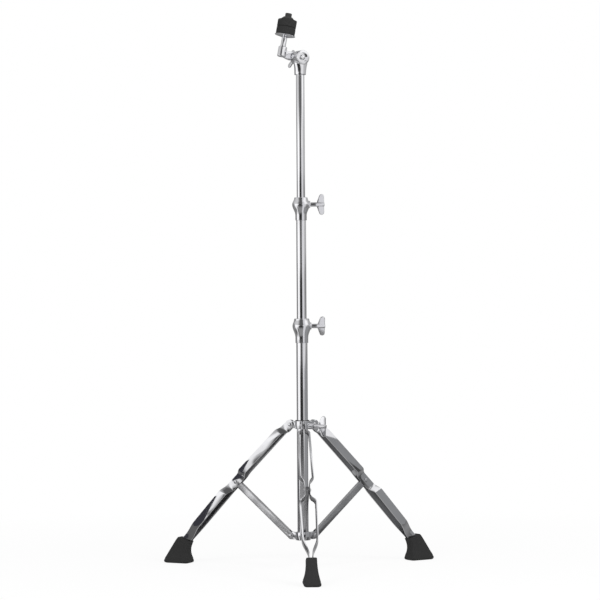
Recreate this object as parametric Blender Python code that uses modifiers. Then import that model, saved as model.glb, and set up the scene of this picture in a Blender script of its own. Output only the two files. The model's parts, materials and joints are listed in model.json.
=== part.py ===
"""Straight cymbal stand: folding strip-steel tripod, three tubes, toothed tilter.

Metres, +Z up. The floor is z = 0 and the origin is the centre of the rectangle that
the three feet cover. The front leg points along -Y.
"""
import math

import bmesh
import bpy
from mathutils import Matrix, Vector

# Clearances between pieces
SEAT_GAP = 0.0003
SLIDE_GAP = 0.00035

# Roundness of turned pieces
TUBE_SIDES = 20
SMALL_SIDES = 12
DOME_STEPS = 2

# Tubes: outer radius, wall and length, and how far each stands in the clamp below it
TUBE_WALL = 0.0012
BASE_TUBE_RADIUS = 0.0127
BASE_TUBE_LENGTH = 0.478
MIDDLE_TUBE_RADIUS = 0.0111
MIDDLE_TUBE_LENGTH = 0.420
MIDDLE_TUBE_INSERTION = 0.165
UPPER_TUBE_RADIUS = 0.0095
UPPER_TUBE_LENGTH = 0.428
UPPER_TUBE_INSERTION = 0.140
PLUG_DEPTH = 0.014
PLUG_RIM = 0.002

# Height clamps: each sits on a tube's top end and holds a split nylon bush
BUSH_WALL = 0.0018
CLAMP_TUBE_SEAT = 0.032
CLAMP_LIP = 0.0015
CLAMP_SKIRT_WALL = 0.0015
BASE_CLAMP_HEIGHT = 0.055
BASE_CLAMP_TOP_RADIUS = 0.0170
BASE_CLAMP_BULGE_RADIUS = 0.0210
BASE_CLAMP_WING_TURN = math.radians(24)
MIDDLE_CLAMP_HEIGHT = 0.052
MIDDLE_CLAMP_TOP_RADIUS = 0.0150
MIDDLE_CLAMP_BULGE_RADIUS = 0.0200
CLAMP_BULGE_SHARE = 0.69
CLAMP_NECK_SHARE = 0.22
CLAMP_BOSS_RADIUS = 0.0080
CLAMP_BOSS_REACH = 0.0010

# Wing bolts and the tilter's wing nut: a hub with a plate of two lobes through it
WING_BOLT_RADIUS = 0.0030
WING_HUB_RADIUS = 0.0050
WING_HUB_EDGE = 0.0008
WING_HUB_GAP = 0.0010
WING_START = 0.0340
WING_LENGTH = 0.0185
WING_CROWN = 0.0008
WING_SPAN = 0.0470
WING_ROOT_RADIUS = 0.0040
WING_ROOT_RISE = 0.0015
WING_LOBE_RADIUS = 0.0058
WING_THICKNESS = 0.0040

# Leg linkage, in a leg's own upright plane
LEG_AZIMUTHS = {"front": math.radians(-90), "right": math.radians(30), "left": math.radians(150)}
LEG_ANGLE = math.radians(46.15)
LEG_BEND = math.radians(2.7)
UPPER_LEG_LENGTH = 0.1941
LOWER_LEG_LENGTH = 0.2090
BRACE_LENGTH = 0.1834
PIVOT_RADIUS = 0.0300
LEG_END_HEIGHT = 0.0415

# Leg strips: flat where they are riveted, and pressed to channels that bow apart between
STRIP_FLAT_WIDTH = 0.0200
STRIP_FACE_WIDTH = 0.0170
STRIP_THICKNESS = 0.0018
STRIP_FLANGE = 0.0022
STRIP_EDGE_BEAD = 0.00005
STRIP_CHAMFER = 0.0006
STRIP_BEND_SKEW = math.tan(math.radians(15))
UPPER_BOW_START_WIDTH = 0.0263
UPPER_BOW_END_WIDTH = 0.0310
LOWER_BOW_START_WIDTH = 0.0380
LOWER_BOW_END_WIDTH = 0.0343
TOP_FLAT = 0.0170
TOP_JOGGLE = 0.0140
KNEE_FLAT = 0.0180
KNEE_UPPER_JOGGLE = 0.0160
KNEE_LOWER_JOGGLE = 0.0200
FOOT_FLAT = 0.0260
FOOT_SWEEP = 0.0450

# How far the strips' middle lies above the line through their rivets
TOP_RISE = 0.0012
UPPER_BOW_START_RISE = 0.0055
UPPER_BOW_END_RISE = 0.0038
LOWER_BOW_START_RISE = 0.0030
LOWER_BOW_END_RISE = 0.0020

# Collars
COLLAR_HEIGHT = 0.0180
COLLAR_HUB_RADIUS = 0.0172
COLLAR_BUSH_WALL = 0.0015
COLLAR_BUSH_RIM = 0.0012
COLLAR_BOSS_RADIUS = 0.0070
COLLAR_BOSS_REACH = 0.0130
COLLAR_BOLT_AZIMUTH = math.radians(-30)
COLLAR_BOLT_DROP = 0.0030
COLLAR_WING_START = 0.0405
TONGUE_THICKNESS = 0.0054
TONGUE_END_RADIUS = 0.0085

# Braces: folded channels, open below
BRACE_DEPTH = 0.0150
BRACE_WALL = 0.0015
BRACE_WEB_START = 0.0110

# Rivets
RIVET_RADIUS = 0.0026
RIVET_HEAD_RADIUS = 0.0046
RIVET_HEAD_HEIGHT = 0.0020
RIVET_SPACER_RADIUS = 0.0044

# Rubber feet: how far the sole and the top reach in and out from the leg's lower end
FOOT_HEIGHT = 0.0610
FOOT_INNER_HEIGHT = 0.0510
FOOT_SOLE_WIDTH = 0.0380
FOOT_TOP_WIDTH = 0.0235
FOOT_SOLE_BACK = 0.0217
FOOT_SOLE_FRONT = 0.0423
FOOT_TOP_BACK = 0.0247
FOOT_TOP_FRONT = 0.0073
FOOT_WAIST = 0.0055
FOOT_LIP_HEIGHT = 0.0080
FOOT_SOLE_ROUNDING = 0.0025
FOOT_CORNER = 0.0070
FOOT_TAPER_POWER = 2.5

# Tilter: a barrel across the hinge axis, on a neck that flares up from the tube's end
TILTER_AZIMUTH = math.radians(206.76)
TILTER_SOCKET_DEPTH = 0.0102
TILTER_HINGE_RISE = 0.0389
TILTER_NECK_WALL = 0.0036
TILTER_NECK_FLARE = 0.0035
TILTER_NECK_DROP = 0.0130
TILTER_NECK_INSET = 0.0012
TILTER_BARREL_RADIUS = 0.0163
TILTER_BARREL_RIM = 0.0010
TILTER_HEAD_REACH = 0.0152
TILTER_TEETH_REACH = 0.0108
TILTER_CROWN_RADIUS = 0.0145
TILTER_CROWN_HEIGHT = 0.0020
TILTER_TEETH = 18
TILTER_TOOTH_DEPTH = 0.0010
TILTER_POCKET_RADIUS = 0.0085
TILTER_POCKET_DEPTH = 0.0060
TILTER_RECESS_RADIUS = 0.0110
TILTER_RECESS_DEPTH = 0.0050
TILTER_TILT = math.radians(11.7)
TILTER_BOLT_RADIUS = 0.0030
TILTER_BOLT_HEAD_RADIUS = 0.0060
TILTER_BOLT_HEAD_HEIGHT = 0.0042
TILTER_NUT_LENGTH = 0.0155
TILTER_NUT_FLARE = 0.0015
TILTER_NUT_SPAN = 0.0420
TILTER_NUT_LEAN = 0.0095
TILTER_NUT_TURN = math.radians(74.4)
TILTER_SPRING_TURNS = 3.5
TILTER_SPRING_RADIUS = 0.0060
TILTER_SPRING_WIRE = 0.0006

# Tilter arm: a plate from the toothed disc to the boss, its edges given in reach and height
ARM_THICKNESS = 0.0097
ARM_POCKET_DEPTH = 0.0020
ARM_REACH = 0.0395
ARM_UPPER_EDGE = ((0.0160, 0.0115), (0.0094, 0.0103))
ARM_LOWER_EDGE = ((0.0113, -0.0079), (0.0172, -0.0089), (0.0228, -0.0083))
ARM_TIP_DROP = 0.0053
ARM_FILLET = 0.0060
ARM_SHOULDER = 0.0159
ARM_BOSS_RADIUS = 0.0097
ARM_BOSS_TOP = 0.0174
ARM_BOSS_DEPTH = 0.0059
ARM_BOSS_EDGE = 0.0015
ARM_BOSS_FLOOR = 0.0020

# Cymbal seat, measured along the rod from the tilter arm's centre line
ROD_RADIUS = 0.0061
ROD_THREAD_RADIUS = 0.0040
ROD_SHOULDER = 0.0400
ROD_END = 0.0900
CUP_RADIUS = 0.0238
CUP_FLAT_RADIUS = 0.0120
CUP_SHEET = 0.0014
CUP_DEPTH = 0.0036
FELT_RADIUS = 0.0220
FELT_THICKNESS = 0.0176
FELT_ROUNDING = 0.0015
SLEEVE_WALL = 0.0010
SLEEVE_FLANGE = 0.0053
NUT_BASE_RADIUS = 0.0148
NUT_SHOULDER_RADIUS = 0.0098
NUT_TIP_RADIUS = 0.0074
NUT_CONE_HEIGHT = 0.0060
NUT_TIP_HEIGHT = 0.0084

# Places worked out from the sizes above
KNEE_CENTRE_RADIUS = PIVOT_RADIUS + UPPER_LEG_LENGTH * math.sin(LEG_ANGLE)
LOWER_LEG_ANGLE = LEG_ANGLE - LEG_BEND
KNEE_HEIGHT = LEG_END_HEIGHT + LOWER_LEG_LENGTH * math.cos(LOWER_LEG_ANGLE)
UPPER_PIVOT_HEIGHT = KNEE_HEIGHT + UPPER_LEG_LENGTH * math.cos(LEG_ANGLE)
BRACE_ANGLE = math.asin((KNEE_CENTRE_RADIUS - PIVOT_RADIUS) / BRACE_LENGTH)
LOWER_PIVOT_HEIGHT = KNEE_HEIGHT - BRACE_LENGTH * math.cos(BRACE_ANGLE)
PIVOT_STRIP_SPACING = TONGUE_THICKNESS + 2 * SEAT_GAP + STRIP_THICKNESS
BRACE_WIDTH = TONGUE_THICKNESS + 2 * SEAT_GAP + 2 * BRACE_WALL
KNEE_STRIP_SPACING = BRACE_WIDTH + 2 * SEAT_GAP + STRIP_THICKNESS
FOOT_STRIP_SPACING = PIVOT_STRIP_SPACING
FOOT_RIVET_STATION = LOWER_LEG_LENGTH - FOOT_FLAT / 2
LEG_END_RADIUS = KNEE_CENTRE_RADIUS + LOWER_LEG_LENGTH * math.sin(LOWER_LEG_ANGLE)
FOOT_SOLE_INNER = LEG_END_RADIUS - FOOT_SOLE_BACK
FOOT_SOLE_OUTER = LEG_END_RADIUS + FOOT_SOLE_FRONT
FOOT_TOP_INNER = LEG_END_RADIUS - FOOT_TOP_BACK
FOOT_TOP_OUTER = LEG_END_RADIUS + FOOT_TOP_FRONT

BASE_TUBE_BOTTOM = LOWER_PIVOT_HEIGHT - COLLAR_HEIGHT / 2 + PLUG_RIM
BASE_TUBE_TOP = BASE_TUBE_BOTTOM + BASE_TUBE_LENGTH
BASE_CLAMP_BOTTOM = BASE_TUBE_TOP - CLAMP_TUBE_SEAT
BASE_CLAMP_TOP = BASE_CLAMP_BOTTOM + BASE_CLAMP_HEIGHT
MIDDLE_TUBE_BOTTOM = BASE_CLAMP_TOP - MIDDLE_TUBE_INSERTION
MIDDLE_TUBE_TOP = MIDDLE_TUBE_BOTTOM + MIDDLE_TUBE_LENGTH
MIDDLE_CLAMP_BOTTOM = MIDDLE_TUBE_TOP - CLAMP_TUBE_SEAT
MIDDLE_CLAMP_TOP = MIDDLE_CLAMP_BOTTOM + MIDDLE_CLAMP_HEIGHT
UPPER_TUBE_BOTTOM = MIDDLE_CLAMP_TOP - UPPER_TUBE_INSERTION
UPPER_TUBE_TOP = UPPER_TUBE_BOTTOM + UPPER_TUBE_LENGTH
TILTER_BOTTOM = UPPER_TUBE_TOP - TILTER_SOCKET_DEPTH
TILTER_HINGE_HEIGHT = TILTER_BOTTOM + TILTER_HINGE_RISE
ARM_FACE = TILTER_TEETH_REACH + SEAT_GAP
ARM_CENTRE = ARM_FACE + ARM_THICKNESS / 2
ARM_BACK = ARM_FACE + ARM_THICKNESS

# The footprint's centre line: the front foot reaches one way, the rear feet's corners the other
REAR_REACH = ((FOOT_SOLE_OUTER - FOOT_CORNER) * math.sin(LEG_AZIMUTHS["right"])
              + (FOOT_SOLE_WIDTH / 2 - FOOT_CORNER) * math.cos(LEG_AZIMUTHS["right"]) + FOOT_CORNER)
FOOTPRINT_SHIFT = (FOOT_SOLE_OUTER - REAR_REACH) / 2


# Scene and materials

def clear_scene():
    for obj in list(bpy.data.objects):
        bpy.data.objects.remove(obj, do_unlink=True)


def make_collection(name):
    collection = bpy.data.collections.new(name)
    bpy.context.scene.collection.children.link(collection)
    return collection


def make_material(name, colour, roughness, metallic):
    material = bpy.data.materials.new(name)
    material.use_nodes = True
    shader = material.node_tree.nodes["Principled BSDF"]
    shader.inputs["Base Color"].default_value = (*colour, 1.0)
    shader.inputs["Roughness"].default_value = roughness
    shader.inputs["Metallic"].default_value = metallic
    material.diffuse_color = (*colour, 1.0)
    return material


def chrome(name):
    return make_material(name, (0.80, 0.80, 0.82), 0.08, 1.0)


def rubber(name):
    return make_material(name, (0.022, 0.022, 0.025), 0.65, 0.0)


def nylon(name):
    return make_material(name, (0.030, 0.030, 0.032), 0.40, 0.0)


def felt(name):
    return make_material(name, (0.018, 0.018, 0.019), 0.95, 0.0)


# Builders

def add_empty(name, parent=None, location=(0, 0, 0), rotation=(0, 0, 0)):
    empty = bpy.data.objects.new(name, None)
    empty.empty_display_size = 0.02
    empty.parent = parent
    empty.location = location
    empty.rotation_euler = rotation
    PARTS.objects.link(empty)
    return empty


def add_object(name, mesh, parent, location=(0, 0, 0), rotation=(0, 0, 0), material=None, tool=False):
    """Link a mesh as a sub-part, or as a hidden tool that cuts or joins one."""
    obj = bpy.data.objects.new(name, mesh)
    obj.parent = parent
    obj.location = location
    obj.rotation_euler = rotation
    if tool:
        TOOLS.objects.link(obj)
        obj.hide_render = True
        obj.display_type = "WIRE"
    else:
        PARTS.objects.link(obj)
    if material is not None:
        mesh.materials.append(material(name + "_finish"))
    return obj


def mesh_from(name, bm):
    mesh = bpy.data.meshes.new(name)
    bmesh.ops.recalc_face_normals(bm, faces=bm.faces)
    bm.to_mesh(mesh)
    bm.free()
    mesh.shade_smooth()
    mesh.set_sharp_from_angle(angle=math.radians(35))
    return mesh


def loft_mesh(name, rings):
    """A skin through rings of equally many points, closed by a face at each end."""
    bm = bmesh.new()
    rows = [[bm.verts.new(point) for point in ring] for ring in rings]
    for low, high in zip(rows, rows[1:]):
        for index, vertex in enumerate(low):
            bm.faces.new((low[index - 1], vertex, high[index], high[index - 1]))
    bm.faces.new(rows[0])
    bm.faces.new(rows[-1])
    return mesh_from(name, bm)


def prism_mesh(name, outline, thickness):
    """A flat outline in x and z, with its thickness centred on y = 0."""
    near = [Vector((x, -thickness / 2, z)) for x, z in outline]
    far = [Vector((x, thickness / 2, z)) for x, z in outline]
    return loft_mesh(name, [near, far])


def cylinder_mesh(name, radius, low, high, sides=TUBE_SIDES):
    bm = bmesh.new()
    place = Matrix.Translation((0, 0, (low + high) / 2))
    bmesh.ops.create_cone(bm, cap_ends=True, segments=sides, radius1=radius, radius2=radius,
                          depth=high - low, matrix=place)
    return mesh_from(name, bm)


def box_mesh(name, low, high):
    bm = bmesh.new()
    bmesh.ops.create_cube(bm, size=1.0)
    size = Vector(high) - Vector(low)
    centre = (Vector(high) + Vector(low)) / 2
    bmesh.ops.transform(bm, matrix=Matrix.Translation(centre) @ Matrix.Diagonal((*size, 1)), verts=bm.verts)
    return mesh_from(name, bm)


def add_turned(name, profile, parent, location=(0, 0, 0), rotation=(0, 0, 0), material=None,
               closed=False, sides=TUBE_SIDES, tool=False):
    """Turn a profile of (radius, height) points, outer side listed downwards, about local Z."""
    mesh = bpy.data.meshes.new(name)
    points = [(radius, 0, height) for radius, height in profile]
    edges = [(index, index + 1) for index in range(len(points) - 1)]
    if closed:
        edges.append((len(points) - 1, 0))
    mesh.from_pydata(points, edges, [])
    obj = add_object(name, mesh, parent, location, rotation, material, tool)
    screw = obj.modifiers.new("turn", "SCREW")
    screw.steps = sides
    screw.render_steps = sides
    screw.use_smooth_shade = True
    screw.use_merge_vertices = True
    screw.merge_threshold = 0.00001
    return obj


def combine(obj, tool, operation):
    """Cut a tool from a sub-part, or join it on, with an exact Boolean."""
    boolean = obj.modifiers.new(tool.name, "BOOLEAN")
    boolean.object = tool
    boolean.operation = operation
    boolean.solver = "EXACT"


def cut(obj, tool):
    combine(obj, tool, "DIFFERENCE")


def join(obj, tool):
    combine(obj, tool, "UNION")


def cut_bore(obj, name, radius, low, high, parent, location=(0, 0, 0), rotation=(0, 0, 0),
             sides=SMALL_SIDES):
    cut(obj, add_object(name, cylinder_mesh(name, radius, low, high, sides), parent, location,
                        rotation, tool=True))


# Outlines

def stadium(start, end, radius, steps=5):
    """Outline of a bar with round ends, from one centre to another in x and z."""
    start, end = Vector(start), Vector(end)
    heading = math.atan2(end.y - start.y, end.x - start.x)
    points = []
    for centre, turn in ((end, heading - math.pi / 2), (start, heading + math.pi / 2)):
        for step in range(steps + 1):
            angle = turn + math.pi * step / steps
            points.append((centre.x + radius * math.cos(angle), centre.y + radius * math.sin(angle)))
    return points


def tangent_angle(point, centre, radius, side):
    """Where the line from a point touches a circle, as an angle about the circle's centre."""
    reach = centre - point
    return math.atan2(reach.y, reach.x) + side * (math.asin(radius / reach.length) + math.pi / 2)


def wing_outline(span, length, lean=0, steps=4):
    """Two round lobes on tapering arms, in span (x) and along the bolt (z)."""
    lobe = Vector((span / 2 - WING_LOBE_RADIUS, length + lean - WING_LOBE_RADIUS))
    root = Vector((WING_ROOT_RADIUS, WING_ROOT_RISE))
    crown = Vector((WING_ROOT_RADIUS, length))
    first = tangent_angle(root, lobe, WING_LOBE_RADIUS, -1)
    last = tangent_angle(crown, lobe, WING_LOBE_RADIUS, 1)
    side = [tuple(root)]
    for step in range(steps + 1):
        angle = first + (last - first) * step / steps
        side.append((lobe.x + WING_LOBE_RADIUS * math.cos(angle),
                     lobe.y + WING_LOBE_RADIUS * math.sin(angle)))
    if lean:
        side.append(tuple(crown))
    return side + [(-x, z) for x, z in reversed(side)]


def dome(radius, base, height):
    """Profile of a round head, from its crown down to its rim."""
    points = [(0, base + height)]
    for step in range(1, DOME_STEPS + 1):
        angle = math.pi / 2 * (1 - step / DOME_STEPS)
        points.append((radius * math.cos(angle), base + height * math.sin(angle)))
    return points


def rounded_ring(inner, outer, width, corner, height):
    """A rounded rectangle in x and y; height is one value or a function of x."""
    centre, half_length, half_width = (inner + outer) / 2, (outer - inner) / 2, width / 2
    points = []
    for quarter in range(4):
        for step in range(4):
            angle = math.radians(90 * quarter + 30 * step)
            sign_x = 1 if quarter in (0, 3) else -1
            sign_y = 1 if quarter in (0, 1) else -1
            x = centre + sign_x * (half_length - corner) + corner * math.cos(angle)
            y = sign_y * (half_width - corner) + corner * math.sin(angle)
            points.append(Vector((x, y, height(x) if callable(height) else height)))
    return points


def ease(start, end, share):
    """Blend from start to end along half a cosine wave."""
    return start + (end - start) * (1 - math.cos(math.pi * share)) / 2


# Tubes and clamps

def make_tube(name, radius, bottom, length, parent):
    inner = radius - TUBE_WALL
    profile = [(inner, length), (radius, length), (radius, 0), (inner, 0)]
    return add_turned(name, profile, parent, (0, 0, bottom), material=chrome, closed=True)


def make_base_tube_plug(parent):
    bore = BASE_TUBE_RADIUS - TUBE_WALL - SEAT_GAP
    profile = [(0, PLUG_DEPTH), (bore, PLUG_DEPTH), (bore, -SEAT_GAP), (BASE_TUBE_RADIUS, -SEAT_GAP),
               (BASE_TUBE_RADIUS, -PLUG_RIM), (0, -PLUG_RIM)]
    return add_turned("base_tube_plug", profile, parent, (0, 0, BASE_TUBE_BOTTOM), material=rubber)


def clamp_profile(height, top_radius, bulge_radius, tube_radius, bush_bore, lip_radius):
    """Pear-shaped casting: bore for the tube below, a wider chamber for the bush, a lip on top."""
    neck_radius = tube_radius + SEAT_GAP + CLAMP_SKIRT_WALL
    bulge, neck = height * CLAMP_BULGE_SHARE, height * CLAMP_NECK_SHARE
    outer = [(top_radius - CLAMP_LIP / 2, height)]
    outer += [(ease(top_radius, bulge_radius, step / 3), height - CLAMP_LIP / 2 + (bulge - height) * step / 3)
              for step in range(4)]
    outer += [(ease(bulge_radius, neck_radius, step / 3), bulge + (neck - bulge) * step / 3)
              for step in range(1, 4)]
    outer += [(neck_radius, 0)]
    bore = tube_radius + SEAT_GAP
    inner = [(bore, 0), (bore, CLAMP_TUBE_SEAT), (bush_bore, CLAMP_TUBE_SEAT),
             (bush_bore, height - CLAMP_LIP), (lip_radius, height - CLAMP_LIP), (lip_radius, height)]
    return outer + inner


def make_clamp(name, bottom, height, top_radius, bulge_radius, outer_tube, inner_tube, parent):
    """A clamp on the top end of one tube, holding the next one up."""
    bush_bore = inner_tube + SLIDE_GAP + BUSH_WALL + SEAT_GAP
    profile = clamp_profile(height, top_radius, bulge_radius, outer_tube, bush_bore,
                            inner_tube + 2 * SLIDE_GAP)
    clamp = add_turned(name, profile, parent, (0, 0, bottom), material=chrome, closed=True)
    bolt_place = (0, 0, bottom + height * CLAMP_BULGE_SHARE)
    outwards = (0, math.radians(90), 0)
    boss = cylinder_mesh(name + "_boss", CLAMP_BOSS_RADIUS, bush_bore + TUBE_WALL,
                         bulge_radius + CLAMP_BOSS_REACH)
    join(clamp, add_object(name + "_boss", boss, parent, bolt_place, outwards, tool=True))
    cut_bore(clamp, name + "_thread", WING_BOLT_RADIUS + SEAT_GAP, bush_bore - SEAT_GAP,
             bulge_radius + 2 * CLAMP_BOSS_REACH, parent, bolt_place, outwards)
    return clamp


def make_clamp_bush(name, clamp_bottom, clamp_height, inner_tube, parent, origin):
    inner = inner_tube + SLIDE_GAP
    outer = inner + BUSH_WALL
    low = clamp_bottom + CLAMP_TUBE_SEAT + SEAT_GAP - origin
    high = clamp_bottom + clamp_height - CLAMP_LIP - SEAT_GAP - origin
    profile = [(inner, high), (outer, high), (outer, low), (inner, low)]
    return add_turned(name, profile, parent, material=nylon, closed=True)


def make_wing_bolt(name, tip, hub_start, wing_start, turn, parent):
    """A wing screw along local Z, from its tip inside to its wings outside."""
    crown = wing_start + WING_LENGTH + WING_CROWN
    profile = [(0, crown), (WING_HUB_RADIUS - WING_HUB_EDGE, crown), (WING_HUB_RADIUS, crown - WING_HUB_EDGE),
               (WING_HUB_RADIUS, hub_start), (WING_BOLT_RADIUS, hub_start), (WING_BOLT_RADIUS, tip), (0, tip)]
    rotation = (0, 0, math.pi + turn)
    bolt = add_turned(name, profile, parent, rotation=rotation, material=chrome, sides=SMALL_SIDES)
    outline = [(x, z + wing_start) for x, z in wing_outline(WING_SPAN, WING_LENGTH)]
    wings = prism_mesh(name + "_wings", outline, WING_THICKNESS)
    join(bolt, add_object(name + "_wings", wings, parent, rotation=rotation, tool=True))
    return bolt


def make_clamp_wing_bolt(name, clamp_bottom, clamp_height, bulge_radius, inner_tube, turn, parent):
    tip = inner_tube + SLIDE_GAP + BUSH_WALL + SEAT_GAP
    height = clamp_bottom + clamp_height * CLAMP_BULGE_SHARE
    axis = add_empty(name + "_axis", parent, (0, 0, height), (0, math.radians(90), 0))
    hub_start = bulge_radius + CLAMP_BOSS_REACH + WING_HUB_GAP
    return make_wing_bolt(name, tip, hub_start, WING_START, turn, axis)


# Collars and legs

def make_collar(name, height, bore, parent):
    """A hub with one tongue for each leg."""
    low, high = -COLLAR_HEIGHT / 2, COLLAR_HEIGHT / 2
    profile = [(bore, high), (COLLAR_HUB_RADIUS, high), (COLLAR_HUB_RADIUS, low), (bore, low)]
    collar = add_turned(name, profile, parent, (0, 0, height), material=chrome, closed=True)
    root = (bore + COLLAR_HUB_RADIUS) / 2 + TONGUE_END_RADIUS
    outline = stadium((root, 0), (PIVOT_RADIUS, 0), TONGUE_END_RADIUS)
    for side, azimuth in LEG_AZIMUTHS.items():
        tongue = prism_mesh(f"{name}_{side}_tongue", outline, TONGUE_THICKNESS)
        join(collar, add_object(tongue.name, tongue, parent, (0, 0, height), (0, 0, azimuth), tool=True))
    for side, azimuth in LEG_AZIMUTHS.items():
        centre = (PIVOT_RADIUS * math.cos(azimuth), PIVOT_RADIUS * math.sin(azimuth), height)
        cut_bore(collar, f"{name}_{side}_hole", RIVET_RADIUS + SLIDE_GAP, -TONGUE_THICKNESS,
                 TONGUE_THICKNESS, parent, centre, (math.radians(90), 0, azimuth))
    return collar


def make_upper_collar(parent):
    """The sliding collar also carries the boss of its wing bolt."""
    bore = BASE_TUBE_RADIUS + SLIDE_GAP + COLLAR_BUSH_WALL + SEAT_GAP
    collar = make_collar("upper_leg_collar", 0, bore, parent)
    place = (0, 0, -COLLAR_BOLT_DROP)
    outwards = (0, math.radians(90), COLLAR_BOLT_AZIMUTH)
    boss = cylinder_mesh("upper_collar_boss", COLLAR_BOSS_RADIUS, (bore + COLLAR_HUB_RADIUS) / 2,
                         COLLAR_HUB_RADIUS + COLLAR_BOSS_REACH)
    join(collar, add_object("upper_collar_boss", boss, parent, place, outwards, tool=True))
    cut_bore(collar, "upper_collar_thread", WING_BOLT_RADIUS + SEAT_GAP, bore - SEAT_GAP,
             COLLAR_HUB_RADIUS + 2 * COLLAR_BOSS_REACH, parent, place, outwards)
    return collar


def make_collar_bush(parent):
    inner = BASE_TUBE_RADIUS + SLIDE_GAP
    outer = inner + COLLAR_BUSH_WALL
    rim = (outer + COLLAR_HUB_RADIUS) / 2
    low, shoulder = -COLLAR_HEIGHT / 2, COLLAR_HEIGHT / 2 + SEAT_GAP
    high = shoulder + COLLAR_BUSH_RIM
    profile = [(inner, high), (rim, high), (rim, shoulder), (outer, shoulder), (outer, low), (inner, low)]
    return add_turned("collar_bush", profile, parent, material=nylon, closed=True)


def make_collar_wing_bolt(parent):
    tip = BASE_TUBE_RADIUS + SLIDE_GAP + COLLAR_BUSH_WALL + SEAT_GAP
    axis = add_empty("collar_wing_bolt_axis", parent, (0, 0, -COLLAR_BOLT_DROP),
                     (0, math.radians(90), COLLAR_BOLT_AZIMUTH))
    hub_start = COLLAR_HUB_RADIUS + COLLAR_BOSS_REACH + WING_HUB_GAP
    return make_wing_bolt("collar_wing_bolt", tip, hub_start, COLLAR_WING_START, 0, axis)


def leg_point(station):
    """Centre line of a leg in its plane, from the knee: up to the collar or down to the foot."""
    if station <= 0:
        return Vector((station * math.sin(LEG_ANGLE), 0, -station * math.cos(LEG_ANGLE)))
    return Vector((station * math.sin(LOWER_LEG_ANGLE), 0, -station * math.cos(LOWER_LEG_ANGLE)))


def strip_stations():
    """Stations from the knee: the strips' spacing, how far their flanges are folded, their rise
    over the rivets' line, and the skew of the bend there."""
    top = -UPPER_LEG_LENGTH
    upper_start = top + TOP_FLAT + TOP_JOGGLE
    upper_end = -KNEE_FLAT - KNEE_UPPER_JOGGLE
    lower_start = KNEE_FLAT + KNEE_LOWER_JOGGLE
    sweep_end = LOWER_LEG_LENGTH - FOOT_FLAT
    sweep_start = sweep_end - FOOT_SWEEP
    skew = STRIP_BEND_SKEW
    stations = [(top, PIVOT_STRIP_SPACING, 0, TOP_RISE, 0),
                (top + TOP_FLAT, PIVOT_STRIP_SPACING, 0, TOP_RISE, skew),
                (upper_start, UPPER_BOW_START_WIDTH, 1, UPPER_BOW_START_RISE, skew),
                (upper_end, UPPER_BOW_END_WIDTH, 1, UPPER_BOW_END_RISE, skew),
                (-KNEE_FLAT, KNEE_STRIP_SPACING, 0, 0, skew),
                (KNEE_FLAT, KNEE_STRIP_SPACING, 0, 0, skew),
                (lower_start, LOWER_BOW_START_WIDTH, 1, LOWER_BOW_START_RISE, skew),
                (sweep_start, LOWER_BOW_END_WIDTH, 1, LOWER_BOW_END_RISE, 0)]
    steps = 3
    for step in range(1, steps + 1):
        share = step / steps
        spacing = ease(LOWER_BOW_END_WIDTH, FOOT_STRIP_SPACING, share)
        rise = ease(LOWER_BOW_END_RISE, 0, share)
        stations.append((sweep_start + FOOT_SWEEP * share, spacing, 1 - share, rise, 0))
    stations.append((LOWER_LEG_LENGTH - STRIP_FLAT_WIDTH / 2, FOOT_STRIP_SPACING, 0, 0, 0))
    return stations


def strip_section(station, spacing, flange, rise, skew, side, half_width=None):
    """One channel section: outer face, chamfered edges, and flanges that turn inwards."""
    if half_width is None:
        half_width = (STRIP_FLAT_WIDTH + (STRIP_FACE_WIDTH - STRIP_FLAT_WIDTH) * flange) / 2
    angle = LEG_ANGLE if station <= 0 else LOWER_LEG_ANGLE
    across = Vector((math.cos(angle), 0, math.sin(angle)))
    along = Vector((math.sin(angle), 0, -math.cos(angle)))
    outward = Vector((0, side, 0))
    centre = leg_point(station) + across * rise
    outer = spacing / 2 + STRIP_THICKNESS / 2
    inner = outer - STRIP_THICKNESS
    tip = inner - STRIP_EDGE_BEAD - STRIP_FLANGE * flange
    web = half_width - min(STRIP_THICKNESS, half_width / 2)
    corner = half_width - STRIP_CHAMFER
    shape = [(-half_width, outer - STRIP_CHAMFER), (-corner, outer), (corner, outer),
             (half_width, outer - STRIP_CHAMFER), (half_width, tip), (web, tip), (web, inner),
             (-web, inner), (-web, tip), (-half_width, tip)]
    return [centre + (across + along * skew) * x + outward * y for x, y in shape]


def round_end(station, direction, side):
    """Sections that round a strip's end, from the very tip inwards."""
    radius = STRIP_FLAT_WIDTH / 2
    at, spacing, flange, rise, skew = station
    for degrees in (30, 60):
        angle = math.radians(degrees)
        yield strip_section(at + direction * radius * math.cos(angle), spacing, flange, rise, skew, side,
                            radius * math.sin(angle))


def make_strip(name, side, parent, flat_station):
    stations = strip_stations()
    rings = list(round_end(stations[0], -1, side))
    rings += [strip_section(*station, side) for station in stations]
    rings += reversed(list(round_end(stations[-1], 1, side)))
    strip = add_object(name, loft_mesh(name, rings), parent, material=chrome)
    for label, station in (("top", -UPPER_LEG_LENGTH), ("knee", 0), ("foot", flat_station)):
        cut_bore(strip, f"{name}_{label}_hole", RIVET_RADIUS + SEAT_GAP / 2, -UPPER_BOW_END_WIDTH,
                 UPPER_BOW_END_WIDTH, parent, leg_point(station), (math.radians(90), 0, 0))
    return strip


def rivet_profile(half_grip, spacer_half=0):
    """A rivet along local Z with a domed head at each end and, if asked, a spacer between."""
    half = dome(RIVET_HEAD_RADIUS, half_grip, RIVET_HEAD_HEIGHT) + [(RIVET_RADIUS, half_grip)]
    if spacer_half:
        half += [(RIVET_RADIUS, spacer_half), (RIVET_SPACER_RADIUS, spacer_half)]
    return half + [(radius, -height) for radius, height in reversed(half)]


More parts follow.
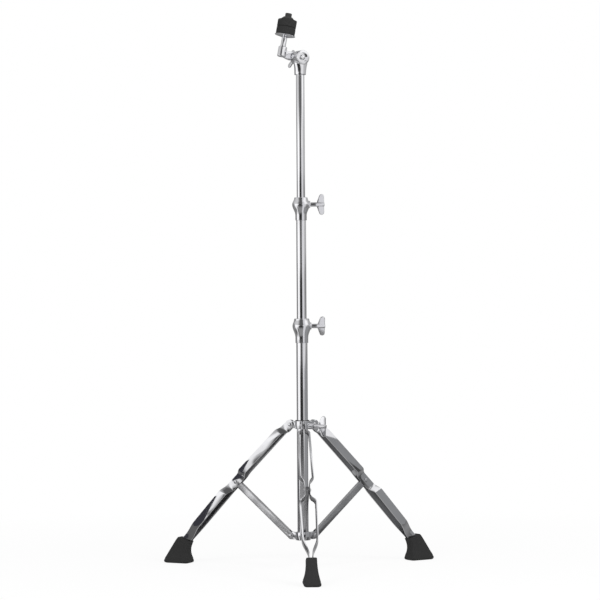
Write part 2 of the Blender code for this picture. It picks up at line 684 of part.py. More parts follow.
def make_rivet(name, spacing, point, parent, spacer=False):
    """A rivet across both strips; the heads sit on their outer faces."""
    half_grip = spacing / 2 + STRIP_THICKNESS / 2 + SEAT_GAP / 2
    spacer_half = spacing / 2 - STRIP_THICKNESS / 2 - SEAT_GAP if spacer else 0
    return add_turned(name, rivet_profile(half_grip, spacer_half), parent, point,
                      (math.radians(90), 0, 0), chrome, sides=SMALL_SIDES)


def make_top_stub(name, side, parent):
    """A short rivet in one strip's upper end, clear of the collar's tongue."""
    outer = PIVOT_STRIP_SPACING / 2 + STRIP_THICKNESS / 2
    inner = outer - STRIP_THICKNESS
    rim = outer + SEAT_GAP / 2
    profile = dome(RIVET_HEAD_RADIUS, rim, RIVET_HEAD_HEIGHT)
    profile += [(RIVET_RADIUS, rim), (RIVET_RADIUS, inner), (0, inner)]
    point = leg_point(-UPPER_LEG_LENGTH)
    turn = math.radians(-90 * side)
    return add_turned(name, profile, parent, point, (turn, 0, 0), chrome, sides=SMALL_SIDES)


def make_brace(name, parent):
    """A folded channel from the lower collar's tongue up to the knee, in brace-local x (out) and z (up)."""
    half = BRACE_DEPTH / 2
    knee = (BRACE_LENGTH * math.sin(BRACE_ANGLE), BRACE_LENGTH * math.cos(BRACE_ANGLE))
    brace = add_object(name, prism_mesh(name, stadium((0, 0), knee, half), BRACE_WIDTH), parent,
                       material=chrome)
    slot = BRACE_WIDTH / 2 - BRACE_WALL
    turn = (0, BRACE_ANGLE, 0)
    channel = box_mesh(name + "_channel", (-half + BRACE_WALL, -slot, -2 * half),
                       (2 * half, slot, BRACE_LENGTH + 2 * half))
    cut(brace, add_object(name + "_channel", channel, parent, rotation=turn, tool=True))
    low_ears = box_mesh(name + "_low_ears", (-2 * half, -slot, -2 * half), (2 * half, slot, BRACE_WEB_START))
    cut(brace, add_object(name + "_low_ears", low_ears, parent, rotation=turn, tool=True))
    for label, point in (("low", (0, 0, 0)), ("knee", (knee[0], 0, knee[1]))):
        cut_bore(brace, f"{name}_{label}_hole", RIVET_RADIUS + SEAT_GAP, -BRACE_WIDTH, BRACE_WIDTH,
                 parent, point, (math.radians(90), 0, 0))
    return brace


def foot_rings():
    """Sole, lip and tapering boot, up to the sloping top; x is the distance from the stand's axis."""
    rings = []
    for height, inset in ((0, FOOT_SOLE_ROUNDING), (FOOT_SOLE_ROUNDING, 0), (FOOT_LIP_HEIGHT, 0)):
        rings.append(rounded_ring(FOOT_SOLE_INNER + inset, FOOT_SOLE_OUTER - inset,
                                  FOOT_SOLE_WIDTH - 2 * inset, FOOT_CORNER, height))
    steps = 4
    for step in range(1, steps + 1):
        share = step / steps
        inner = FOOT_SOLE_INNER + (FOOT_TOP_INNER - FOOT_SOLE_INNER) * share
        inner += FOOT_WAIST * math.sin(math.pi * share)
        outer = FOOT_SOLE_OUTER + (FOOT_TOP_OUTER - FOOT_SOLE_OUTER) * share
        width = FOOT_TOP_WIDTH + (FOOT_SOLE_WIDTH - FOOT_TOP_WIDTH) * (1 - share) ** FOOT_TAPER_POWER
        inner_height = FOOT_LIP_HEIGHT + (FOOT_INNER_HEIGHT - FOOT_LIP_HEIGHT) * share
        outer_height = FOOT_LIP_HEIGHT + (FOOT_HEIGHT - FOOT_LIP_HEIGHT) * share

        def sloping(x, inner=inner, outer=outer, low=inner_height, high=outer_height):
            return low + (high - low) * (x - inner) / (outer - inner)

        rings.append(rounded_ring(inner, outer, width, FOOT_CORNER * (1 - share / 3), sloping))
    return rings


def make_foot(name, parent):
    """A rubber boot with a socket for the two strip ends and room for their rivet's heads."""
    knee = Vector((KNEE_CENTRE_RADIUS, 0, KNEE_HEIGHT))
    rings = [[point - knee for point in ring] for ring in foot_rings()]
    foot = add_object(name, loft_mesh(name, rings), parent, material=rubber)
    half_depth = STRIP_FLAT_WIDTH / 2 + SEAT_GAP
    half_width = FOOT_STRIP_SPACING / 2 + STRIP_THICKNESS / 2 + SEAT_GAP
    socket = box_mesh(name + "_socket", (-half_depth, -half_width, -LOWER_LEG_LENGTH - SEAT_GAP),
                      (half_depth, half_width, -LOWER_LEG_LENGTH + 2 * FOOT_FLAT))
    turn = (0, -LOWER_LEG_ANGLE, 0)
    cut(foot, add_object(name + "_socket", socket, parent, rotation=turn, tool=True))
    reach = half_width + RIVET_HEAD_HEIGHT
    cut_bore(foot, name + "_rivet_room", RIVET_HEAD_RADIUS + SEAT_GAP, -reach, reach, parent,
             leg_point(FOOT_RIVET_STATION), (math.radians(90), 0, 0))
    return foot


def make_leg(side, azimuth, stand):
    plane = add_empty(side + "_leg_plane", stand, rotation=(0, 0, azimuth))
    pivot = add_empty(side + "_brace_pivot", plane, (PIVOT_RADIUS, 0, LOWER_PIVOT_HEIGHT))
    knee = add_empty(side + "_knee", plane, (KNEE_CENTRE_RADIUS, 0, KNEE_HEIGHT))
    make_brace(side + "_brace", pivot)
    make_rivet(side + "_lower_rivet", BRACE_WIDTH - STRIP_THICKNESS, (0, 0, 0), pivot)
    for label, sign in (("left", -1), ("right", 1)):
        make_strip(f"{side}_leg_{label}_strip", sign, knee, FOOT_RIVET_STATION)
        make_top_stub(f"{side}_top_{label}_rivet", sign, knee)
    make_rivet(side + "_knee_rivet", KNEE_STRIP_SPACING, (0, 0, 0), knee)
    make_rivet(side + "_foot_rivet", FOOT_STRIP_SPACING, leg_point(FOOT_RIVET_STATION), knee, spacer=True)
    make_foot(side + "_foot", knee)


# Tilter

def oval_ring(half_width, half_depth, height, shift=0, sides=TUBE_SIDES):
    """A level ellipse, moved along y."""
    angles = [2 * math.pi * index / sides for index in range(sides)]
    return [Vector((half_width * math.cos(angle), shift + half_depth * math.sin(angle), height))
            for angle in angles]


def toothed_disc_mesh(name, sections, thickness, pocket_radius, pocket_depth):
    """A turned disc on local Z whose top face has a crown of radial teeth round a pocket."""
    count = 2 * TILTER_TEETH

    def toothed_ring(radius):
        # The teeth get deeper outwards, so that their flanks are flat
        ring = oval_ring(radius, radius, thickness, sides=count)
        for point in ring[::2]:
            point.z -= TILTER_TOOTH_DEPTH * radius / TILTER_CROWN_RADIUS
        return ring

    rings = [oval_ring(radius, radius, height, sides=count) for radius, height in sections]
    rings += [toothed_ring(TILTER_CROWN_RADIUS), toothed_ring(pocket_radius),
              oval_ring(pocket_radius, pocket_radius, thickness - pocket_depth, sides=count)]
    return loft_mesh(name, rings)


def neck_rings():
    """Level ovals from the tube's end up into the barrel, kept clear of the arm's side."""
    mouth = UPPER_TUBE_RADIUS + TILTER_NECK_WALL
    near = TILTER_HEAD_REACH - TILTER_NECK_INSET
    far = TILTER_TEETH_REACH - SEAT_GAP
    depth, shift = (near + far) / 2, (near - far) / 2
    rings = []
    steps = 3
    for step in range(steps + 1):
        share = step / steps
        height = -TILTER_HINGE_RISE + (TILTER_HINGE_RISE - TILTER_NECK_DROP) * share
        width = mouth + TILTER_NECK_FLARE * share ** 2
        rings.append(oval_ring(width, ease(mouth, depth, share), height, ease(0, shift, share)))
    rings.append(oval_ring(TILTER_CROWN_RADIUS, depth - TILTER_NECK_INSET / 2, -TILTER_NECK_DROP / 2, shift))
    return rings


def make_tilter_base(hinge, parent):
    """Socket and flaring neck on the upper tube, under a barrel across the hinge axis."""
    base = add_object("tilter_base", loft_mesh("tilter_base", neck_rings()), hinge, material=chrome)
    width = TILTER_HEAD_REACH + TILTER_TEETH_REACH
    shoulder = width - TILTER_CROWN_HEIGHT
    sections = ((TILTER_BARREL_RADIUS - TILTER_BARREL_RIM, 0), (TILTER_BARREL_RADIUS, TILTER_BARREL_RIM),
                (TILTER_BARREL_RADIUS - TILTER_BARREL_RIM / 3, shoulder), (TILTER_CROWN_RADIUS, shoulder))
    barrel = toothed_disc_mesh("tilter_barrel", sections, width, TILTER_POCKET_RADIUS - SEAT_GAP,
                               2 * TILTER_TOOTH_DEPTH)
    far_side = (math.radians(90), 0, 0)
    join(base, add_object("tilter_barrel", barrel, hinge, (0, TILTER_HEAD_REACH, 0), far_side, tool=True))
    cut_bore(base, "tilter_pocket", TILTER_POCKET_RADIUS, TILTER_TEETH_REACH - TILTER_POCKET_DEPTH,
             TILTER_TEETH_REACH + SEAT_GAP, hinge, rotation=far_side, sides=TUBE_SIDES)
    cut_bore(base, "tilter_recess", TILTER_RECESS_RADIUS, -TILTER_HEAD_REACH - SEAT_GAP,
             TILTER_RECESS_DEPTH - TILTER_HEAD_REACH, hinge, rotation=far_side, sides=TUBE_SIDES)
    low, high = TILTER_RECESS_DEPTH / 2 - TILTER_HEAD_REACH, TILTER_TEETH_REACH - TILTER_POCKET_DEPTH / 2
    cut_bore(base, "tilter_base_hole", TILTER_BOLT_RADIUS + SEAT_GAP, low, high, hinge, rotation=far_side)
    cut_bore(base, "tilter_socket", UPPER_TUBE_RADIUS + SEAT_GAP, -SEAT_GAP,
             TILTER_SOCKET_DEPTH + SEAT_GAP, parent, (0, 0, TILTER_BOTTOM), sides=TUBE_SIDES)
    return base


def make_tilter_bolt(hinge):
    """Carriage bolt along the hinge, head in the barrel's recess, end in the wing nut."""
    seat = TILTER_HEAD_REACH - TILTER_RECESS_DEPTH + SEAT_GAP
    rim = seat + TILTER_BOLT_HEAD_HEIGHT / 2
    end = -ARM_BACK - TILTER_NUT_LENGTH
    profile = dome(TILTER_BOLT_HEAD_RADIUS, rim, TILTER_BOLT_HEAD_HEIGHT / 2)
    profile += [(TILTER_BOLT_HEAD_RADIUS, seat), (TILTER_BOLT_RADIUS, seat), (TILTER_BOLT_RADIUS, end), (0, end)]
    return add_turned("tilter_bolt", profile, hinge, rotation=(math.radians(-90), 0, 0), material=chrome,
                      sides=SMALL_SIDES)


def make_tilter_spring(hinge):
    """A short coil round the bolt that parts the teeth when the wing nut is loosened."""
    low = ARM_FACE + ARM_POCKET_DEPTH - SEAT_GAP - TILTER_SPRING_WIRE
    high = TILTER_TEETH_REACH - TILTER_POCKET_DEPTH + SEAT_GAP + TILTER_SPRING_WIRE
    points_per_turn = 8
    count = round(TILTER_SPRING_TURNS * points_per_turn)
    curve = bpy.data.curves.new("tilter_spring", "CURVE")
    curve.dimensions = "3D"
    curve.bevel_depth = TILTER_SPRING_WIRE
    curve.bevel_resolution = 1
    curve.use_fill_caps = True
    spline = curve.splines.new("POLY")
    spline.points.add(count)
    for index, point in enumerate(spline.points):
        angle = 2 * math.pi * index / points_per_turn
        along = low + (high - low) * index / count
        point.co = (TILTER_SPRING_RADIUS * math.cos(angle), -along, TILTER_SPRING_RADIUS * math.sin(angle), 1)
    pitch_gap = abs(high - low) / TILTER_SPRING_TURNS - 2 * TILTER_SPRING_WIRE
    print(f"tilter_spring least gap between turns: {pitch_gap * 1000:.2f} mm")
    curve.materials.append(chrome("tilter_spring_finish"))
    spring = bpy.data.objects.new("tilter_spring", curve)
    spring.parent = hinge
    PARTS.objects.link(spring)
    return spring


def arm_outline():
    """The plate's edge, from under the disc, round the boss and back over a hollow fillet."""
    hollow = Vector((ARM_REACH - ARM_BOSS_RADIUS + ARM_BOSS_EDGE / 2 - ARM_FILLET, ARM_SHOULDER))
    outline = list(ARM_LOWER_EDGE)
    outline += [(ARM_REACH, -ARM_TIP_DROP), (ARM_REACH, ARM_SHOULDER)]
    for degrees in (0, -30, -60, -90):
        angle = math.radians(degrees)
        outline.append((hollow.x + ARM_FILLET * math.cos(angle), hollow.y + ARM_FILLET * math.sin(angle)))
    return outline + list(ARM_UPPER_EDGE)


def make_tilter_arm(tilt):
    """Toothed disc, a plate to one side and the boss that takes the cymbal rod."""
    facing = (math.radians(-90), 0, 0)
    sections = ((TILTER_CROWN_RADIUS - TILTER_BARREL_RIM, 0), (TILTER_CROWN_RADIUS, TILTER_BARREL_RIM))
    disc = toothed_disc_mesh("tilter_arm", sections, ARM_THICKNESS, TILTER_POCKET_RADIUS, ARM_POCKET_DEPTH)
    arm = add_object("tilter_arm", disc, tilt, (0, -ARM_BACK, 0), facing, chrome)
    near, far = ARM_FACE + TILTER_TOOTH_DEPTH * 1.5, ARM_BACK - SEAT_GAP
    plate = prism_mesh("tilter_arm_plate", arm_outline(), far - near)
    join(arm, add_object("tilter_arm_plate", plate, tilt, (0, -(near + far) / 2, 0), tool=True))
    centre = (ARM_REACH, -ARM_CENTRE, 0)
    profile = [(0, ARM_BOSS_TOP), (ARM_BOSS_RADIUS - ARM_BOSS_EDGE, ARM_BOSS_TOP),
               (ARM_BOSS_RADIUS, ARM_BOSS_TOP - ARM_BOSS_EDGE), (ARM_BOSS_RADIUS, -ARM_BOSS_DEPTH),
               (0, -ARM_BOSS_DEPTH)]
    join(arm, add_turned("tilter_arm_boss", profile, tilt, centre, tool=True))
    cut_bore(arm, "tilter_arm_socket", ROD_RADIUS + SEAT_GAP, ARM_BOSS_FLOOR - ARM_BOSS_DEPTH,
             ARM_BOSS_TOP + SEAT_GAP, tilt, centre, sides=TUBE_SIDES)
    cut_bore(arm, "tilter_arm_hole", TILTER_BOLT_RADIUS + SEAT_GAP, ARM_FACE, ARM_BACK + SEAT_GAP,
             tilt, rotation=(math.radians(90), 0, 0))
    return arm


def make_tilter_wing_nut(hinge):
    """Wing nut on the bolt's far end, wings spread across the hinge axis."""
    start, end = ARM_BACK + SEAT_GAP, ARM_BACK + SEAT_GAP + TILTER_NUT_LENGTH
    bore = TILTER_BOLT_RADIUS + SEAT_GAP / 2
    axis = (math.radians(90), TILTER_NUT_TURN, 0)
    profile = [(0, end), (WING_HUB_RADIUS, end), (WING_HUB_RADIUS + TILTER_NUT_FLARE, start), (0, start)]
    nut = add_turned("tilter_wing_nut", profile, hinge, rotation=axis, material=chrome)
    outline = [(x, z + start) for x, z in wing_outline(TILTER_NUT_SPAN, TILTER_NUT_LENGTH - WING_CROWN,
                                                       TILTER_NUT_LEAN)]
    wings = prism_mesh("tilter_nut_wings", outline, WING_THICKNESS)
    join(nut, add_object("tilter_nut_wings", wings, hinge, rotation=axis, tool=True))
    cut_bore(nut, "tilter_nut_bore", bore, start - SEAT_GAP, end + SEAT_GAP, hinge, rotation=axis,
             sides=TUBE_SIDES)
    return nut


# Cymbal seat

def make_cymbal_rod(rod):
    low = ARM_BOSS_FLOOR - ARM_BOSS_DEPTH + SEAT_GAP
    profile = [(0, ROD_END), (ROD_THREAD_RADIUS, ROD_END), (ROD_THREAD_RADIUS, ROD_SHOULDER),
               (ROD_RADIUS, ROD_SHOULDER), (ROD_RADIUS, low), (0, low)]
    return add_turned("cymbal_rod", profile, rod, material=chrome)


def make_cup_washer(rod):
    """A shallow dish that carries the lower felt on its rim."""
    hole = ROD_THREAD_RADIUS + SEAT_GAP
    low = ROD_SHOULDER + SEAT_GAP
    rim = low + CUP_DEPTH
    profile = [(hole, low + CUP_SHEET), (CUP_FLAT_RADIUS - CUP_SHEET / 3, low + CUP_SHEET),
               (CUP_RADIUS - CUP_SHEET, rim), (CUP_RADIUS, rim - CUP_SHEET / 3), (CUP_FLAT_RADIUS, low),
               (hole, low)]
    return add_turned("cup_washer", profile, rod, material=chrome, closed=True)


def felt_bottom(index):
    """Height of a felt's lower face: the first one lies on the cup washer's rim."""
    return ROD_SHOULDER + CUP_DEPTH + 2 * SEAT_GAP + index * (FELT_THICKNESS + SEAT_GAP)


def make_felt(name, index, rod):
    hole = ROD_THREAD_RADIUS + 3 * SEAT_GAP + SLEEVE_WALL
    low = felt_bottom(index)
    high = low + FELT_THICKNESS
    edge = FELT_RADIUS - FELT_ROUNDING
    profile = [(hole, high), (edge, high), (FELT_RADIUS, high - FELT_ROUNDING),
               (FELT_RADIUS, low + FELT_ROUNDING), (edge, low), (hole, low)]
    return add_turned(name, profile, rod, material=felt, closed=True)


def make_rod_sleeve(rod):
    """Nylon sleeve round the rod, with a flange that lies in the cup washer."""
    inner = ROD_THREAD_RADIUS + SEAT_GAP
    outer = inner + SLEEVE_WALL
    rim = outer + SLEEVE_FLANGE
    low = ROD_SHOULDER + CUP_SHEET + 2 * SEAT_GAP
    flange = felt_bottom(0) - SEAT_GAP
    high = felt_bottom(2) - SEAT_GAP
    profile = [(inner, high), (outer, high), (outer, flange), (rim, flange), (rim, low), (inner, low)]
    return add_turned("rod_sleeve", profile, rod, material=nylon, closed=True)


def make_cymbal_nut(rod):
    low = felt_bottom(2)
    cone = low + NUT_CONE_HEIGHT
    tip = cone + NUT_TIP_HEIGHT
    bore = ROD_THREAD_RADIUS + SEAT_GAP
    bore_end = ROD_END + SEAT_GAP
    edge = FELT_ROUNDING / 2
    profile = [(0, tip), (NUT_TIP_RADIUS - edge, tip), (NUT_TIP_RADIUS, tip - edge), (NUT_TIP_RADIUS, cone),
               (NUT_SHOULDER_RADIUS, cone), (NUT_BASE_RADIUS, low + 2 * edge), (NUT_BASE_RADIUS, low),
               (bore, low), (bore, bore_end), (0, bore_end)]
    return add_turned("cymbal_nut", profile, rod, material=nylon)


# Assembly

def make_base(stand):
    make_tube("base_tube", BASE_TUBE_RADIUS, BASE_TUBE_BOTTOM, BASE_TUBE_LENGTH, stand)
    make_base_tube_plug(stand)
    make_collar("lower_leg_collar", LOWER_PIVOT_HEIGHT, BASE_TUBE_RADIUS + SEAT_GAP, stand)
    make_clamp("base_clamp", BASE_CLAMP_BOTTOM, BASE_CLAMP_HEIGHT, BASE_CLAMP_TOP_RADIUS,
               BASE_CLAMP_BULGE_RADIUS, BASE_TUBE_RADIUS, MIDDLE_TUBE_RADIUS, stand)
    make_clamp_wing_bolt("base_clamp_wing_bolt", BASE_CLAMP_BOTTOM, BASE_CLAMP_HEIGHT, BASE_CLAMP_BULGE_RADIUS,
                         MIDDLE_TUBE_RADIUS, BASE_CLAMP_WING_TURN, stand)
    collar = add_empty("collar_slide", stand, (0, 0, UPPER_PIVOT_HEIGHT))
    make_upper_collar(collar)
    make_collar_bush(collar)
    make_collar_wing_bolt(collar)


def make_mast(stand):
    middle = add_empty("middle_tube_swivel", stand, (0, 0, BASE_CLAMP_TOP))
    make_clamp_bush("base_clamp_bush", BASE_CLAMP_BOTTOM, BASE_CLAMP_HEIGHT, MIDDLE_TUBE_RADIUS,
                    middle, BASE_CLAMP_TOP)
    make_tube("middle_tube", MIDDLE_TUBE_RADIUS, MIDDLE_TUBE_BOTTOM, MIDDLE_TUBE_LENGTH, stand)
    make_clamp("middle_clamp", MIDDLE_CLAMP_BOTTOM, MIDDLE_CLAMP_HEIGHT, MIDDLE_CLAMP_TOP_RADIUS,
               MIDDLE_CLAMP_BULGE_RADIUS, MIDDLE_TUBE_RADIUS, UPPER_TUBE_RADIUS, stand)
    make_clamp_wing_bolt("middle_clamp_wing_bolt", MIDDLE_CLAMP_BOTTOM, MIDDLE_CLAMP_HEIGHT,
                         MIDDLE_CLAMP_BULGE_RADIUS, UPPER_TUBE_RADIUS, 0, stand)
    upper = add_empty("upper_tube_swivel", stand, (0, 0, MIDDLE_CLAMP_TOP))
    make_clamp_bush("middle_clamp_bush", MIDDLE_CLAMP_BOTTOM, MIDDLE_CLAMP_HEIGHT, UPPER_TUBE_RADIUS,
                    upper, MIDDLE_CLAMP_TOP)
    make_tube("upper_tube", UPPER_TUBE_RADIUS, UPPER_TUBE_BOTTOM, UPPER_TUBE_LENGTH, stand)


def make_tilter(stand):
    hinge = add_empty("tilter_hinge", stand, (0, 0, TILTER_HINGE_HEIGHT), (0, 0, TILTER_AZIMUTH))
    tilt = add_empty("tilter_tilt", hinge, rotation=(0, -TILTER_TILT, 0))
    rod = add_empty("rod_axis", tilt, (ARM_REACH, -ARM_CENTRE, 0))
    make_tilter_base(hinge, stand)
    make_tilter_bolt(hinge)
    make_tilter_spring(hinge)
    make_tilter_wing_nut(hinge)
    make_tilter_arm(tilt)
    make_cymbal_rod(rod)
    make_cup_washer(rod)
    make_rod_sleeve(rod)
    make_felt("lower_felt", 0, rod)
    make_felt("upper_felt", 1, rod)
    make_cymbal_nut(rod)


clear_scene()
PARTS = make_collection("cymbal_stand")
TOOLS = make_collection("cutters")
STAND = add_empty("stand", location=(0, FOOTPRINT_SHIFT, 0))
make_base(STAND)
make_mast(STAND)
make_tilter(STAND)
for leg_side, leg_azimuth in LEG_AZIMUTHS.items():
    make_leg(leg_side, leg_azimuth, STAND)
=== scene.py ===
"""Looks for a straight cymbal stand: bright chrome, black rubber and felt, on a white floor."""
import json
import math

import bmesh
import bpy
from mathutils import Euler, Matrix, Vector


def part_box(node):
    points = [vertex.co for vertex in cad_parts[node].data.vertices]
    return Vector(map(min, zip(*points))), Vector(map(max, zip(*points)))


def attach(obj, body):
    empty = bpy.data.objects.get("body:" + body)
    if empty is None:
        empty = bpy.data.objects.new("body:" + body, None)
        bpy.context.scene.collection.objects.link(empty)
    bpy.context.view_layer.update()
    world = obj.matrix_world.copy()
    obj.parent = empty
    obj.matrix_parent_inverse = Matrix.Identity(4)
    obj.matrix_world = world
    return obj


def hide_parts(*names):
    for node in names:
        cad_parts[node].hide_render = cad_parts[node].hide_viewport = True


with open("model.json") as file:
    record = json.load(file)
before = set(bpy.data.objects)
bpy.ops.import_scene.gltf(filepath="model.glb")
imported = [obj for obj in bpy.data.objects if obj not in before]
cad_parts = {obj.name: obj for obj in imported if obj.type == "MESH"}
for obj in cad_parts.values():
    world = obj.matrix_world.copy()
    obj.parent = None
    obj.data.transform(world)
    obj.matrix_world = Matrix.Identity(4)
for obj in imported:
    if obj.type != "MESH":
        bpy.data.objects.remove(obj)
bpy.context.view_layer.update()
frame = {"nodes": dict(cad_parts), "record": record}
RECORD = frame["record"]
SLOT_OF = {row["node"]: row["material_slot"] for row in RECORD["subparts"]}
BODY_OF = {node: body for body, nodes in RECORD["behaviour"]["bodies"].items() for node in nodes}

bl_info = {
    "name": "Cymbal Stand Finish",
    "version": (1, 1, 0),
    "blender": (4, 5, 0),
    "location": "3D View > Sidebar > Cymbal Stand",
    "description": "Chromed, moulded and felt pieces, studio and camera for a folding cymbal stand",
    "category": "Object",
}


# Places read from the frame

def middle(node):
    low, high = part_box(node)
    return (low + high) / 2


def bottom(node):
    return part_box(node)[0].z


def top(node):
    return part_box(node)[1].z


def radius_of(node):
    low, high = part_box(node)
    return (high.x - low.x) / 2


MAST = Vector((0.0, middle("upper_tube").y, 0.0))
MAST_PLACE = Matrix.Translation(MAST)
LEG_AZIMUTHS = {"front": -90, "right": 30, "left": 150}
KNEE_HEIGHT = middle("front_knee_rivet").z
KNEE_RADIUS = MAST.y - middle("front_knee_rivet").y
UPPER_PIVOT = middle("front_top_left_rivet").z
LOWER_PIVOT = middle("front_lower_rivet").z
PIVOT_RADIUS = MAST.y - middle("front_lower_rivet").y
LEG_ANGLE = math.atan2(KNEE_RADIUS - PIVOT_RADIUS, UPPER_PIVOT - KNEE_HEIGHT)
BRACE_ANGLE = math.atan2(KNEE_RADIUS - PIVOT_RADIUS, KNEE_HEIGHT - LOWER_PIVOT)
UPPER_LEG = math.hypot(KNEE_RADIUS - PIVOT_RADIUS, UPPER_PIVOT - KNEE_HEIGHT)
BRACE_LENGTH = math.hypot(KNEE_RADIUS - PIVOT_RADIUS, KNEE_HEIGHT - LOWER_PIVOT)
HINGE_HEIGHT = middle("tilter_bolt").z

# The faces inside a pressed channel, marked by the y of their normal for a painted shade and a rougher finish
INNER_FACE = "inner_face"
INNER_NORMAL = -0.3

# Clearances, walls and roundings
SEAT_GAP = 0.0003
SLIDE_GAP = 0.00035
TUBE_WALL = 0.0012
ROUNDING = 0.0005
FINE_ROUNDING = 0.0004
BUSH_ROUNDING = 0.0003
TURNED_ROUNDING = 0.0006
CAST_ROUNDING = 0.0008
TONGUE_ROUNDING = 0.0007
COLLAR_BOSS_ROUNDING = 0.0009
STRIP_ROUNDING = 0.00045
BRACE_ROUNDING = 0.0010
SOFT_ROUNDING = 0.0012
ARM_BOSS_ROUNDING = 0.0018
BLUNT_ANGLE = 50

# Clamps, bushes and wing screws
BUSH_WALL = 0.0018
CLAMP_SEAT = 0.032
BASE_CLAMP_TOP = 0.0170
BASE_CLAMP_BULGE = 0.0210
MIDDLE_CLAMP_TOP = 0.0150
MIDDLE_CLAMP_BULGE = 0.0200
CLAMP_LIP = 0.0015
CLAMP_WALL = 0.0015
CLAMP_BULGE_SHARE = 0.69
CLAMP_NECK_SHARE = 0.22
CLAMP_BOSS_RADIUS = 0.0080
CLAMP_BOSS_REACH = 0.0010
SCREW_RADIUS = 0.0030
SCREW_CHAMFER = 0.0006
HUB_RADIUS = 0.0050
HUB_CHAMFER = 0.0012
HUB_GAP = 0.0010
WING_START = 0.0340
WING_LENGTH = 0.0185
WING_CROWN = 0.0008
WING_SPAN = 0.0470
WING_ROOT = (0.0040, 0.0015)
WING_LOBE = 0.0058
WING_THICKNESS = 0.0040
BASE_WING_TURN = math.radians(24)

# Strips of the legs
LEG_BEND = math.radians(2.7)
LOWER_LEG = 0.2090
STRIP_FLAT_WIDTH = 0.0200
STRIP_FACE_WIDTH = 0.0170
STRIP_THICKNESS = 0.0018
STRIP_FLANGE = 0.0022
FLANGE_STUB = 0.00005
STRIP_END_ANGLES = (18, 35, 55, 75)
STRIP_SKEW = math.tan(math.radians(15))
STRIP_TOP_RISE = 0.0012
UPPER_BOW_SPACING = (0.0263, 0.0310)
UPPER_BOW_RISE = (0.0055, 0.0038)
LOWER_BOW_SPACING = (0.0380, 0.0343)
LOWER_BOW_RISE = (0.0030, 0.0020)
TOP_FLAT = 0.0170
TOP_JOGGLE = 0.0140
KNEE_FLAT = 0.0180
KNEE_UPPER_JOGGLE = 0.0160
KNEE_LOWER_JOGGLE = 0.0200
FOOT_FLAT = 0.0260
FOOT_SWEEP = 0.0450

# Collars, braces and rivets
COLLAR_HEIGHT = 0.0180
COLLAR_HUB = 0.0172
COLLAR_BUSH_WALL = 0.0015
COLLAR_BOSS_RADIUS = 0.0070
COLLAR_BOSS_REACH = 0.0130
COLLAR_BOLT_AZIMUTH = math.radians(-30)
COLLAR_WING_START = 0.0405
TONGUE_THICKNESS = 0.0054
TONGUE_END = 0.0085
BRACE_DEPTH = 0.0150
BRACE_WALL = 0.0015
BRACE_WEB_START = 0.0110
RIVET_RADIUS = 0.0026
RIVET_HEAD = 0.0046
RIVET_DOME = 0.0020
SPACER_RADIUS = 0.0044
PIVOT_SPACING = TONGUE_THICKNESS + 2 * SEAT_GAP + STRIP_THICKNESS
BRACE_WIDTH = TONGUE_THICKNESS + 2 * SEAT_GAP + 2 * BRACE_WALL
KNEE_SPACING = BRACE_WIDTH + 2 * SEAT_GAP + STRIP_THICKNESS

# Feet, measured out from the leg's lower end
FOOT_HEIGHT = 0.0610
FOOT_INNER_HEIGHT = 0.0510
FOOT_SOLE_WIDTH = 0.0380
FOOT_TOP_WIDTH = 0.0235
FOOT_SOLE_BACK = 0.0217
FOOT_SOLE_FRONT = 0.0423
FOOT_TOP_BACK = 0.0247
FOOT_TOP_FRONT = 0.0073
FOOT_WAIST = 0.0055
FOOT_LIP = 0.0080
FOOT_CORNER = 0.0070
FOOT_SOLE_ROUNDING = 0.0045
FOOT_LIP_DROP = 0.0012
FOOT_LIP_STEP = 0.0008
FOOT_OUTER_CURVE = 0.85
FOOT_SIDE_CURVE = 2.5

# Tilter and arm
TILTER_AZIMUTH = math.radians(206.76)
TILTER_RISE = 0.0389
NECK_WALL = 0.0036
NECK_FLARE = 0.0035
NECK_DROP = 0.0130
NECK_INSET = 0.0012
BARREL_RADIUS = 0.0163
BARREL_RIM = 0.0010
BARREL_EASE = 0.0004
HEAD_REACH = 0.0152
TEETH_REACH = 0.0108
CROWN_RADIUS = 0.0145
CROWN_HEIGHT = 0.0020
TEETH = 24
TOOTH_DEPTH = 0.0010
POCKET_RADIUS = 0.0085
POCKET_DEPTH = 0.0060
RECESS_RADIUS = 0.0110
RECESS_DEPTH = 0.0050
NECK_SOCKET = 0.0105
BOLT_HEAD_RADIUS = 0.0060
BOLT_HEAD_RIM = 0.0021
BOLT_HEAD_HEIGHT = 0.0042
TILT = math.radians(11.7)
NUT_TURN = math.radians(74.4)
NUT_SPAN = 0.0420
NUT_LENGTH = 0.0155
NUT_LEAN = 0.0095
NUT_FLARE = 0.0015
ARM_THICKNESS = 0.0097
ARM_REACH = 0.0395
ARM_FILLET = 0.0060
ARM_SHOULDER = 0.0159
ARM_BOSS_RADIUS = 0.0097
ARM_BOSS_TOP = 0.0174
ARM_BOSS_DEPTH = 0.0059
ARM_UNDERSIDE = ((0.0113, -0.0079), (0.0172, -0.0089), (0.0228, -0.0083))
ARM_UNDER_BOSS = -0.0053
ARM_TOPSIDE = ((0.0160, 0.0115), (0.0094, 0.0103))
ARM_FILLET_INSET = 0.0008
ARM_SOCKET_FLOOR = 0.0020
ARM_FACE = TEETH_REACH + SEAT_GAP
ARM_BACK = ARM_FACE + ARM_THICKNESS
ARM_CENTRE = ARM_FACE + ARM_THICKNESS / 2

